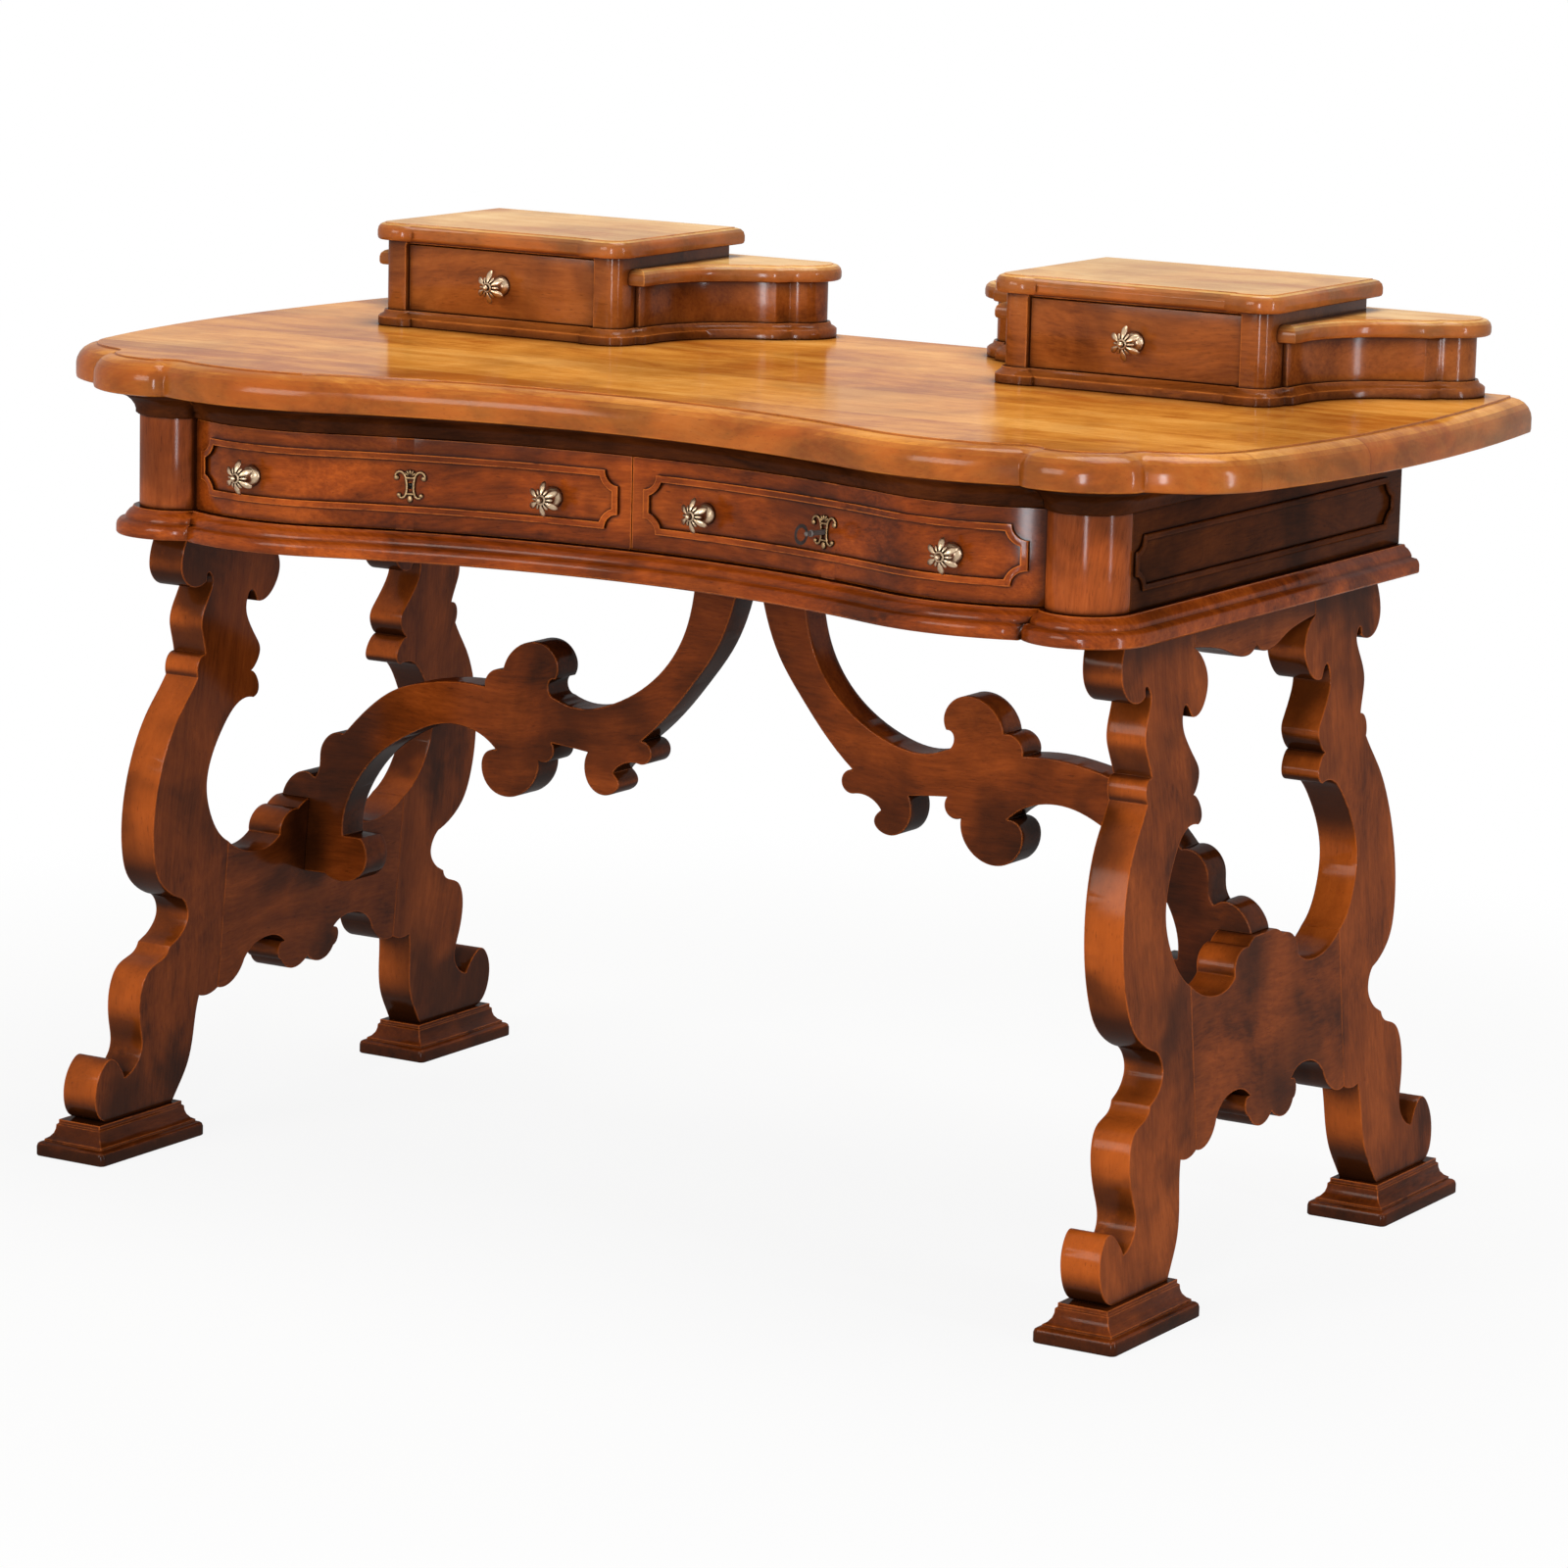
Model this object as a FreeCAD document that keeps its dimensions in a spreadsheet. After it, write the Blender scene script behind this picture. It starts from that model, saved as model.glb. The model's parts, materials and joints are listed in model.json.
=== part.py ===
import FreeCAD
import Part
import math
import os

from FreeCAD import Placement, Rotation, Vector

# A trestle writing desk: two carved splayed trestles, two scrolled braces, a serpentine
# case with two locking drawers, a moulded top and two small organizers with low wings.
# X runs along the desk, the front is towards -Y, the floor is Z = 0, lengths in millimetres.

DOC = FreeCAD.newDocument("WritingDesk")
SHEET = DOC.addObject("Spreadsheet::Sheet", "Sizes")

SIZES = [
    # Trestles
    ("foot_height", 35),
    ("foot_length", 164.5),
    ("foot_width", 82.8),
    ("foot_rounding", 6),
    ("trestle_height", 573),
    ("trestle_thickness", 39),
    ("trestle_set_in", 23.95),
    ("trestle_splay", 4.506),
    ("leg_reach", 337),
    ("brace_thickness", 36),
    # Front curve of the desk, shared by the top, the case and the drawers
    ("hollow_radius", 770),
    ("swell_radius", 230),
    ("crest_y", 345),
    # Desk top
    ("top_thickness", 34),
    ("top_overhang", 136.5),
    ("top_crest_y", 42),
    ("side_front_radius", 1150),
    ("side_rear_radius", 1900),
    ("side_corner_radius", 100),
    ("side_corner_angle", 13),
    ("ear_radius", 82),
    ("top_back_y", 334),
    ("top_back_rounding", 24),
    ("top_edge_width", 20),
    ("notch_rounding", 2),
    # Case
    ("case_set_in", 47),
    ("post_width", 69),
    ("post_front_y", 296),
    ("post_rounding", 38),
    ("post_depth", 44),
    ("case_half_width", 529),
    ("case_back_y", 288),
    ("base_moulding_height", 26),
    ("base_moulding_reach", 22),
    ("case_opening_height", 88),
    ("cornice_height", 24),
    ("cornice_reach", 22),
    ("cornice_rail_width", 45),
    ("side_panel_thickness", 18),
    ("back_panel_thickness", 12),
    ("divider_thickness", 14),
    ("panel_bead_width", 6),
    ("panel_bead_depth", 3.5),
    ("panel_bead_rise", 17),
    ("panel_bead_height", 50),
    ("panel_bead_end", 20),
    ("panel_bead_start", 4),
    # Drawers
    ("running_clearance", 0.3),
    ("front_gap", 1),
    ("drawer_front_thickness", 22),
    ("drawer_side_thickness", 12),
    ("drawer_side_height", 70),
    ("drawer_bottom_thickness", 8),
    ("drawer_bottom_rise", 6),
    ("drawer_back_gap", 14),
    ("drawer_bead_rise", 17),
    ("drawer_bead_height", 54.5),
    ("drawer_bead_end", 14),
    ("bead_scoop_radius", 14),
    # Knobs
    ("knob_radius", 17),
    ("knob_reach", 31),
    ("hardware_height", 42.5),
    # Locks and key
    ("keyhole_radius", 3),
    ("escutcheon_width", 34.5),
    ("escutcheon_height", 30),
    ("escutcheon_thickness", 2),
    ("lock_width", 50),
    ("lock_drop", 16.5),
    ("lock_set_in", 8),
    ("lock_cavity_radius", 10),
    ("lock_cavity_depth", 7),
    ("bolt_width", 16),
    ("bolt_thickness", 5),
    ("bolt_height", 16),
    ("bolt_throw", 8),
    ("key_shank_radius", 2.4),
    ("key_reach", 22),
    ("key_bow_width", 19),
    ("key_bow_height", 17),
    ("key_bow_wire", 1.7),
    ("key_bit_height", 8),
    # Organizers
    ("organizer_middle_gap", 100.5),
    ("organizer_end_margin", 63),
    ("organizer_front_y", 72),
    ("organizer_back_y", 278),
    ("organizer_height", 85),
    ("organizer_post_width", 28),
    ("organizer_post_step", 5),
    ("organizer_post_rounding", 13),
    ("organizer_base_height", 15.5),
    ("organizer_base_reach", 9.5),
    ("organizer_wall", 12),
    ("organizer_rail", 3),
    ("organizer_slab_thickness", 17),
    ("organizer_slab_reach", 11),
    ("organizer_knob_rise", 48),
    ("wing_width", 113),
    ("wing_depth", 190),
    ("wing_back_y", 295),
    ("wing_height", 57),
    ("wing_wall", 12),
    ("wing_slab_thickness", 16),
    ("wing_slab_reach", 13),
]

for row, (alias, value) in enumerate(SIZES, start=1):
    SHEET.set("A%d" % row, alias)
    SHEET.set("B%d" % row, str(value))
    SHEET.setAlias("B%d" % row, alias)
DOC.recompute()


def size(alias):
    """Return one named size of the sheet."""
    return float(SHEET.get(alias))


# Levels, each worked out from the heights stacked below it
TRESTLE_TOP = size("foot_height") + size("trestle_height")
CASE_FLOOR = TRESTLE_TOP + size("base_moulding_height")
CASE_CEILING = CASE_FLOOR + size("case_opening_height")
TOP_UNDERSIDE = CASE_CEILING + size("cornice_height")
DESK_LEVEL = TOP_UNDERSIDE + size("top_thickness")
FRONT_LOW = CASE_FLOOR + size("front_gap")
FRONT_HIGH = CASE_CEILING - size("front_gap")
KEY_LEVEL = CASE_FLOOR + size("hardware_height")

# Places along the desk, from the case outwards and inwards
SPLAY = math.radians(size("trestle_splay"))
TRESTLE_FOOT_X = (
    size("case_half_width") - size("trestle_set_in") + size("trestle_height") * math.tan(SPLAY))
POST_INNER_X = size("case_half_width") - size("post_width")
POST_CENTRE = Vector(
    size("case_half_width") - size("post_rounding"), -size("post_front_y") + size("post_rounding"), 0)
TOP_HALF_WIDTH = size("case_half_width") + size("top_overhang")
SWELL_PLACE_SHARE = 0.8043
SWELL_X = SWELL_PLACE_SHARE * POST_INNER_X
KNOB_PLACE_SHARES = (0.181, 0.8195)
KEYHOLE_PLACE_SHARE = 0.487
KEYHOLE_X = KEYHOLE_PLACE_SHARE * POST_INNER_X

# Each organizer with its two wings fills the room between the middle gap and the end margin
ORGANIZER_ROOM = TOP_HALF_WIDTH - size("organizer_middle_gap") - size("organizer_end_margin")
ORGANIZER_X = size("organizer_middle_gap") + ORGANIZER_ROOM / 2
ORGANIZER_HALF_WIDTH = ORGANIZER_ROOM / 2 - size("wing_width")

SUBPARTS = []


def keep(item, label):
    """Name a finished piece and list it for export."""
    item.Label = label
    SUBPARTS.append(item)
    return item


def shaped(label, shape):
    """Make a finished piece from a shape worked out with the named sizes."""
    item = DOC.addObject("Part::Feature", label)
    item.Shape = shape
    return keep(item, label)


def bound_box(label, lengths, corner):
    """Make a box whose three lengths and corner follow the sheet."""
    item = DOC.addObject("Part::Box", label)
    for name, text in zip(("Length", "Width", "Height"), lengths):
        item.setExpression(name, text)
    for axis, text in zip("xyz", corner):
        item.setExpression("Placement.Base." + axis, text)
    return item


def extruded(label, face, direction, forward, backward="0"):
    """Extrude a face along a direction by lengths bound to the sheet."""
    outline = DOC.addObject("Part::Feature", label + "_outline")
    outline.Shape = face
    item = DOC.addObject("Part::Extrusion", label)
    item.Base = outline
    item.DirMode = "Custom"
    item.Dir = direction
    item.Solid = True
    item.setExpression("LengthFwd", forward)
    item.setExpression("LengthRev", backward)
    return keep(item, label)


# Outlines of lines and arcs that can be set in or out evenly


class Line:
    """A straight side, walked from one point towards another, material on the left."""

    def __init__(self, start, end):
        self.start = start
        self.direction = (end - start).normalize()

    def inset(self, depth):
        """Return the side moved into the material."""
        left = Vector(-self.direction.y, self.direction.x, 0)
        moved = self.start + left * depth
        return Line(moved, moved + self.direction)

    def nearest(self, point):
        """Return the place on the side nearest to a point."""
        return self.start + self.direction * (point - self.start).dot(self.direction)

    def heading(self, point):
        """Return the direction of the walk."""
        return self.direction

    def edge(self, start, end):
        """Return the edge between two points of the side."""
        return Part.LineSegment(start, end).toShape()


class Arc:
    """A round side: turn 1 bulges out of the material, turn -1 hollows it."""

    def __init__(self, centre, radius, turn=1):
        self.centre = centre
        self.radius = radius
        self.turn = turn

    def inset(self, depth):
        """Return the side moved into the material."""
        return Arc(self.centre, self.radius - self.turn * depth, self.turn)

    def nearest(self, point):
        """Return the place on the side nearest to a point."""
        return self.centre + (point - self.centre).normalize() * self.radius

    def heading(self, point):
        """Return the direction of the walk at a point."""
        out = (point - self.centre).normalize()
        return Vector(-out.y, out.x, 0) * self.turn

    def edge(self, start, end):
        """Return the edge between two points of the side."""
        first = math.atan2(start.y - self.centre.y, start.x - self.centre.x)
        last = math.atan2(end.y - self.centre.y, end.x - self.centre.x)
        sweep = ((last - first) * self.turn) % (2 * math.pi)
        middle = first + self.turn * sweep / 2
        through = self.centre + Vector(math.cos(middle), math.sin(middle), 0) * self.radius
        return Part.Arc(start, through, end).toShape()


def meet(first, second, near):
    """Return the point where two sides cross, the one nearest to a given point."""
    if isinstance(first, Line) and isinstance(second, Line):
        gap = second.start - first.start
        reach = gap.cross(second.direction).z / first.direction.cross(second.direction).z
        return first.start + first.direction * reach
    if isinstance(first, Line):
        return meet(second, first, near)
    if isinstance(second, Line):
        foot = second.nearest(first.centre)
        half = math.sqrt(max(first.radius ** 2 - (foot - first.centre).Length ** 2, 0))
        across = second.direction
    else:
        gap = second.centre - first.centre
        along = (first.radius ** 2 - second.radius ** 2 + gap.Length ** 2) / (2 * gap.Length)
        half = math.sqrt(max(first.radius ** 2 - along ** 2, 0))
        foot = first.centre + gap * (along / gap.Length)
        across = Vector(-gap.y, gap.x, 0).normalize()
    return min((foot + across * half, foot - across * half), key=near.distanceToPoint)


# Least rounding of an inner corner that a wide inset uses up, as a share of its own
LEAST_ROUNDING_SHARE = 0.02


class Outline:
    """A closed outline: sides, each with the rounding and place of its far corner."""

    def __init__(self, sides):
        self.sides = [side for side, rounding, near in sides]
        self.roundings = [rounding for side, rounding, near in sides]
        self.corners = []
        for index, (side, rounding, near) in enumerate(sides):
            following = self.sides[(index + 1) % len(sides)]
            self.corners.append(meet(side, following, near))

    def wire(self, inset, level):
        """Return the outline set in by a depth, as a wire at a level."""
        count = len(self.sides)
        joints = []
        for index in range(count):
            side = self.sides[index]
            following = self.sides[(index + 1) % count]
            corner = self.corners[index]
            rounding = self.roundings[index]
            if not rounding:
                point = meet(side.inset(inset), following.inset(inset), corner)
                joints.append((point, point, None))
                continue
            turning = side.heading(corner).cross(following.heading(corner)).z
            turn = 1 if turning > 0 else -1
            least = rounding * LEAST_ROUNDING_SHARE
            radius = max(rounding - turn * inset, least)
            depth = inset + turn * radius
            centre = meet(side.inset(depth), following.inset(depth), corner)
            start = side.inset(inset).nearest(centre)
            end = following.inset(inset).nearest(centre)
            joints.append((start, end, Arc(centre, radius, turn)))
        edges = []
        for index in range(count):
            start = joints[index - 1][1]
            end, after, corner_arc = joints[index]
            edges.append(self.sides[index].inset(inset).edge(start, end))
            if corner_arc:
                edges.append(corner_arc.edge(end, after))
        wire = Part.Wire(edges)
        wire.translate(Vector(0, 0, level))
        return wire

    def slab(self, low, high, inset=0):
        """Return a plain slab of the outline between two levels."""
        return Part.Face(self.wire(inset, low)).extrude(Vector(0, 0, high - low))

    def moulded(self, steps):
        """Return a solid whose edge follows steps of (inset, level)."""
        wires = [self.wire(inset, level) for inset, level in steps]
        return Part.makeLoft(wires, True, True)


def mirrored(half, back):
    """Complete the sides on +X, from the front centre on, with a back and their mirror image."""
    sides = list(half)
    sides.append((back, half[-1][1], mirror_point(half[-1][2])))
    for index in range(len(half) - 1, 0, -1):
        rounding, near = half[index - 1][1], half[index - 1][2]
        sides.append((flipped(half[index][0]), rounding, mirror_point(near)))
    return Outline(sides)


def mirror_point(point):
    """Return a point's mirror image in the plane X = 0."""
    return Vector(-point.x, point.y, 0)


def flipped(side):
    """Return a side's mirror image in the plane X = 0, still with material on its left."""
    if isinstance(side, Line):
        start = Vector(-side.start.x, side.start.y, 0)
        ahead = Vector(side.direction.x, -side.direction.y, 0)
        return Line(start, start + ahead)
    return Arc(Vector(-side.centre.x, side.centre.y, 0), side.radius, side.turn)


# Carved outlines, as runs of smooth curve between sharp corners


def run_edge(points):
    """Return a line, an arc or a smooth curve through the points of one run."""
    if len(points) == 2:
        return Part.LineSegment(points[0], points[1]).toShape()
    if len(points) == 3:
        return Part.Arc(*points).toShape()
    curve = Part.BSplineCurve()
    curve.interpolate(points)
    return curve.toShape()


def carved_face(runs):
    """Return the face inside runs that follow one another, closed by a line."""
    edges = [run_edge(run) for run in runs]
    if runs[-1][-1].distanceToPoint(runs[0][0]) > size("running_clearance"):
        edges.append(Part.LineSegment(runs[-1][-1], runs[0][0]).toShape())
    return Part.Face(Part.Wire(edges))


def backwards(runs):
    """Return the same runs walked the other way."""
    return [run[::-1] for run in runs[::-1]]


# Leg outlines: shares of the leg's reach and of the trestle's height
LEG_OUTER_SHARES = [
    [(0.736, 1.000), (0.763, 0.962), (0.760, 0.930), (0.730, 0.909), (0.685, 0.901), (0.641, 0.908)],
    [(0.641, 0.908), (0.632, 0.923), (0.611, 0.911), (0.614, 0.894), (0.635, 0.869), (0.650, 0.839),
     (0.638, 0.812), (0.620, 0.782)],
    [(0.620, 0.782), (0.647, 0.775), (0.656, 0.759), (0.650, 0.743)],
    [(0.650, 0.743), (0.680, 0.719), (0.730, 0.682), (0.772, 0.635), (0.801, 0.578), (0.813, 0.511),
     (0.801, 0.449), (0.772, 0.407), (0.721, 0.379), (0.650, 0.360)],
    [(0.650, 0.360), (0.623, 0.342), (0.617, 0.323), (0.632, 0.305), (0.662, 0.290)],
    [(0.662, 0.290), (0.694, 0.281)],
    [(0.694, 0.281), (0.715, 0.265), (0.748, 0.258), (0.786, 0.248), (0.813, 0.222), (0.819, 0.187),
     (0.807, 0.148), (0.795, 0.120), (0.801, 0.099)],
    [(0.801, 0.099), (0.825, 0.082), (0.869, 0.070)],
    [(0.869, 0.070), (0.893, 0.092), (0.944, 0.110), (0.982, 0.092), (1.000, 0.047), (0.979, 0.014),
     (0.935, 0.000)],
]
LEG_FOOT_SHARES = [
    [(0.632, 0.000), (0.602, 0.026), (0.570, 0.058), (0.552, 0.099), (0.546, 0.140), (0.534, 0.178)],
    [(0.534, 0.178), (0.490, 0.175), (0.445, 0.183)],
]
LEG_OPENING_SHARES = [
    [(0.445, 0.442), (0.493, 0.461), (0.543, 0.501), (0.570, 0.555), (0.555, 0.600), (0.516, 0.642),
     (0.445, 0.684), (0.371, 0.688)],
    [(0.371, 0.688), (0.350, 0.698), (0.353, 0.714), (0.392, 0.736)],
    [(0.392, 0.736), (0.365, 0.752), (0.356, 0.771), (0.380, 0.794), (0.418, 0.822), (0.439, 0.853),
     (0.427, 0.876), (0.386, 0.857)],
    [(0.386, 0.857), (0.344, 0.859), (0.303, 0.881), (0.288, 0.908), (0.303, 0.935), (0.359, 0.962)],
    [(0.359, 0.962), (0.359, 1.000)],
]
RAIL_EDGE_SHARES = [
    [(0.359, 0.962), (0.261, 0.955), (0.178, 0.944), (0.131, 0.934), (0.071, 0.927), (0.027, 0.930),
     (0.000, 0.941)],
]
BOARD_TOP_SHARES = [
    [(0.445, 0.442), (0.383, 0.422), (0.309, 0.412), (0.243, 0.414), (0.187, 0.429)],
    [(0.187, 0.429), (0.178, 0.454), (0.142, 0.468), (0.104, 0.469)],
    [(0.104, 0.469), (0.080, 0.478), (0.059, 0.482)],
    [(0.059, 0.482), (0.000, 0.482)],
]
BOARD_FOOT_SHARES = [
    [(0.445, 0.183), (0.398, 0.182), (0.350, 0.197), (0.323, 0.220)],
    [(0.323, 0.220), (0.288, 0.239), (0.223, 0.250), (0.160, 0.246), (0.122, 0.232)],
    [(0.122, 0.232), (0.148, 0.227), (0.151, 0.211), (0.131, 0.199)],
    [(0.131, 0.199), (0.089, 0.180), (0.042, 0.180), (0.000, 0.194)],
]
BOARD_TOP_SHARE = 0.482

# Brace outlines: shares of the reach from the middle to the trestle, and of its height
BRACE_UPPER_SHARES = [
    [(0.114, 1.000), (0.120, 0.934), (0.138, 0.859), (0.173, 0.801), (0.232, 0.750), (0.295, 0.719),
     (0.363, 0.703), (0.428, 0.714)],
    [(0.428, 0.714), (0.442, 0.723), (0.442, 0.742), (0.428, 0.747)],
    [(0.428, 0.747), (0.424, 0.775), (0.448, 0.801), (0.491, 0.805), (0.530, 0.784), (0.548, 0.752)],
    [(0.548, 0.752), (0.572, 0.749), (0.587, 0.735), (0.589, 0.719)],
    [(0.589, 0.719), (0.658, 0.721), (0.731, 0.712), (0.796, 0.695), (0.861, 0.656), (0.919, 0.604)],
    [(0.919, 0.604), (0.953, 0.599), (0.974, 0.571), (0.976, 0.545), (0.988, 0.520)],
    [(0.988, 0.520), (1.014, 0.529), (1.047, 0.513), (1.065, 0.482)],
]
BRACE_LOWER_SHARES = [
    [(0.961, 0.353), (0.933, 0.344), (0.896, 0.347), (0.868, 0.368), (0.862, 0.396), (0.876, 0.424)],
    [(0.876, 0.424), (0.919, 0.424)],
    [(0.919, 0.424), (0.916, 0.466), (0.888, 0.522), (0.833, 0.579), (0.766, 0.618), (0.695, 0.644),
     (0.625, 0.644), (0.562, 0.613)],
    [(0.562, 0.613), (0.591, 0.599), (0.593, 0.571), (0.568, 0.541), (0.530, 0.534), (0.489, 0.550),
     (0.464, 0.604)],
    [(0.464, 0.604), (0.438, 0.607), (0.434, 0.637)],
    [(0.434, 0.637), (0.393, 0.634), (0.352, 0.630)],
    [(0.352, 0.630), (0.358, 0.595), (0.342, 0.569), (0.310, 0.560), (0.283, 0.574), (0.295, 0.600)],
    [(0.295, 0.600), (0.271, 0.618), (0.234, 0.621)],
    [(0.234, 0.621), (0.210, 0.635), (0.232, 0.661)],
    [(0.232, 0.661), (0.177, 0.707), (0.118, 0.770), (0.071, 0.829), (0.039, 0.895), (0.016, 1.000)],
]


# Corners of a square, walked round it
SQUARE_WALK = [(-1, -1), (1, -1), (1, 1), (-1, 1)]
# Place of a foot, as a share of the leg's reach
FOOT_CENTRE_SHARE = 0.799
# Foot moulding: shares of its height, from the floor up: slab, fillet and cove
FOOT_STEP_SHARES = [
    (0.03, 0.00), (0.00, 0.03), (0.00, 0.26), (0.03, 0.34), (0.09, 0.38), (0.20, 0.40), (0.20, 0.46),
    (0.30, 0.52), (0.38, 0.62), (0.42, 0.74), (0.43, 0.86), (0.48, 0.90), (0.48, 1.00),
]


# Trestles


def board_runs(shares, hand=1):
    """Place shares of a trestle outline on the sloping plane of the boards."""
    reach = hand * size("leg_reach")
    slope_height = size("trestle_height") / math.cos(SPLAY)
    return [[Vector(0, y * reach, z * slope_height) for y, z in run] for run in shares]


def trestle_board(label, side, runs):
    """Make one board of a trestle: side -1 left, 1 right; its plane leans inwards."""
    face = carved_face(runs)
    face.Placement = Placement(
        Vector(side * TRESTLE_FOOT_X, 0, size("foot_height")),
        Rotation(Vector(0, 1, 0), -side * size("trestle_splay")))
    half = "Sizes.trestle_thickness / 2"
    return extruded(label, face, Vector(1, 0, 0), half, half)


def inner_face_x(level):
    """Return how far from the middle the inner faces of the trestles are at a level."""
    lean = (level - size("foot_height")) * math.tan(SPLAY)
    return TRESTLE_FOOT_X - size("trestle_thickness") / 2 - lean


def make_foot(label, side, hand):
    """Make the moulded block under one leg."""
    height = size("foot_height")
    centre = Vector(side * TRESTLE_FOOT_X, hand * size("leg_reach") * FOOT_CENTRE_SHARE, 0)
    reach_x = size("foot_width") / 2
    reach_y = size("foot_length") / 2
    corners = [centre + Vector(x * reach_x, y * reach_y, 0) for x, y in SQUARE_WALK]
    sides = []
    for index, corner in enumerate(corners):
        following = corners[(index + 1) % len(corners)]
        sides.append((Line(corner, following), size("foot_rounding"), following))
    steps = [(inset * height, level * height) for inset, level in FOOT_STEP_SHARES]
    return shaped(label, Outline(sides).moulded(steps))


for side, side_name in ((-1, "left"), (1, "right")):
    for hand, hand_name in ((-1, "front"), (1, "rear")):
        leg_runs = (
            board_runs(LEG_FOOT_SHARES, hand)
            + [[Vector(0, hand * size("leg_reach") * y, size("trestle_height") / math.cos(SPLAY) * z)
                for y, z in (LEG_FOOT_SHARES[-1][-1], LEG_OPENING_SHARES[0][0])]]
            + board_runs(LEG_OPENING_SHARES, hand)
            + board_runs([[LEG_OPENING_SHARES[-1][-1], LEG_OUTER_SHARES[0][0]]], hand)
            + board_runs(LEG_OUTER_SHARES, hand))
        trestle_board("%s_%s_leg" % (side_name, hand_name), side, leg_runs)
        make_foot("%s_%s_foot" % (side_name, hand_name), side, hand)
    centre_runs = (
        board_runs(BOARD_TOP_SHARES)
        + backwards(board_runs(BOARD_TOP_SHARES, -1))
        + board_runs([[BOARD_TOP_SHARES[0][0], BOARD_FOOT_SHARES[0][0]]], -1)
        + board_runs(BOARD_FOOT_SHARES, -1)
        + backwards(board_runs(BOARD_FOOT_SHARES)))
    trestle_board("%s_centre_board" % side_name, side, centre_runs)
    rail_end = (RAIL_EDGE_SHARES[0][0][0], LEG_OUTER_SHARES[0][0][1])
    rail_runs = (
        board_runs(RAIL_EDGE_SHARES)
        + backwards(board_runs(RAIL_EDGE_SHARES, -1))
        + board_runs([[RAIL_EDGE_SHARES[0][0], rail_end]], -1)
        + [[board_runs([[rail_end]], -1)[0][0], board_runs([[rail_end]])[0][0]]])
    trestle_board("%s_top_rail" % side_name, side, rail_runs)

    # Brace from the trestle's centre board up to the middle of the case
    board_top = size("foot_height") + BOARD_TOP_SHARE * size("trestle_height")
    brace_reach = side * inner_face_x(board_top)

    def brace_runs(shares):
        """Place shares of a brace outline in the middle plane of the desk."""
        return [[Vector(x * brace_reach, 0, size("foot_height") + z * size("trestle_height"))
                 for x, z in run] for run in shares]

    heel_level = size("foot_height") + BRACE_LOWER_SHARES[0][0][1] * size("trestle_height")
    seat = [
        brace_runs(BRACE_UPPER_SHARES)[-1][-1],
        Vector(brace_reach, 0, board_top),
        Vector(side * inner_face_x(heel_level), 0, heel_level),
        brace_runs(BRACE_LOWER_SHARES)[0][0],
    ]
    seat_runs = [[seat[index], seat[index + 1]] for index in range(len(seat) - 1)]
    runs = brace_runs(BRACE_UPPER_SHARES) + seat_runs + brace_runs(BRACE_LOWER_SHARES)
    half_brace = "Sizes.brace_thickness / 2"
    extruded("%s_brace" % side_name, carved_face(runs), Vector(0, 1, 0), half_brace, half_brace)


# Plan outlines of the desk


def front_arcs(inset):
    """Return the hollow and the right swell of the serpentine front, set in from the top."""
    swell_centre = Vector(SWELL_X, -size("crest_y") + size("swell_radius"), 0)
    reach = size("hollow_radius") + size("swell_radius")
    hollow_y = swell_centre.y - math.sqrt(reach ** 2 - SWELL_X ** 2)
    hollow = Arc(Vector(0, hollow_y, 0), size("hollow_radius"), -1)
    swell = Arc(swell_centre, size("swell_radius"))
    return hollow.inset(inset), swell.inset(inset)


# Ears of the desk top: headings of their tighter shoulders, in degrees from the front, and the
# shoulders' radius as a share of the edge moulding's width
EAR_SHOULDER_HEADINGS = (-14, 52)
EAR_SHOULDER_SHARE = 1.15


def ear_shoulder(heading):
    """Return the tighter arc at one end of an ear and the place where it starts."""
    turn = math.radians(heading)
    toward = Vector(math.sin(turn), -math.cos(turn), 0)
    radius = EAR_SHOULDER_SHARE * size("top_edge_width")
    centre = POST_CENTRE + toward * (size("ear_radius") - radius)
    return Arc(centre, radius), POST_CENTRE + toward * size("ear_radius")


def top_outline():
    """Return the outline of the desk top."""
    hollow, swell = front_arcs(0)
    ear = Arc(POST_CENTRE, size("ear_radius"))
    (front_shoulder, ear_start), (side_shoulder, ear_end) = [
        ear_shoulder(heading) for heading in EAR_SHOULDER_HEADINGS]
    widest = Vector(TOP_HALF_WIDTH, size("top_crest_y"), 0)
    side_front = Arc(widest - Vector(size("side_front_radius"), 0, 0), size("side_front_radius"))
    side_rear = Arc(widest - Vector(size("side_rear_radius"), 0, 0), size("side_rear_radius"))
    turn = math.radians(size("side_corner_angle"))
    toward = Vector(math.cos(turn), -math.sin(turn), 0)
    corner_start = side_front.centre + toward * side_front.radius
    corner = Arc(corner_start - toward * size("side_corner_radius"), size("side_corner_radius"))
    back = Line(Vector(0, size("top_back_y"), 0), Vector(-widest.x, size("top_back_y"), 0))
    notch = size("notch_rounding")
    front_notch = ear.centre + Vector(-size("ear_radius"), -size("ear_radius"), 0)
    side_notch = ear.centre + Vector(size("ear_radius"), 0, 0)
    back_corner = Vector(widest.x, size("top_back_y"), 0)
    return mirrored([
        (hollow, 0, swell.centre),
        (swell, notch, front_notch),
        (front_shoulder, 0, ear_start),
        (ear, 0, ear_end),
        (side_shoulder, notch, side_notch),
        (corner, 0, corner_start),
        (side_front, 0, widest),
        (side_rear, size("top_back_rounding"), back_corner),
    ], back)


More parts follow.
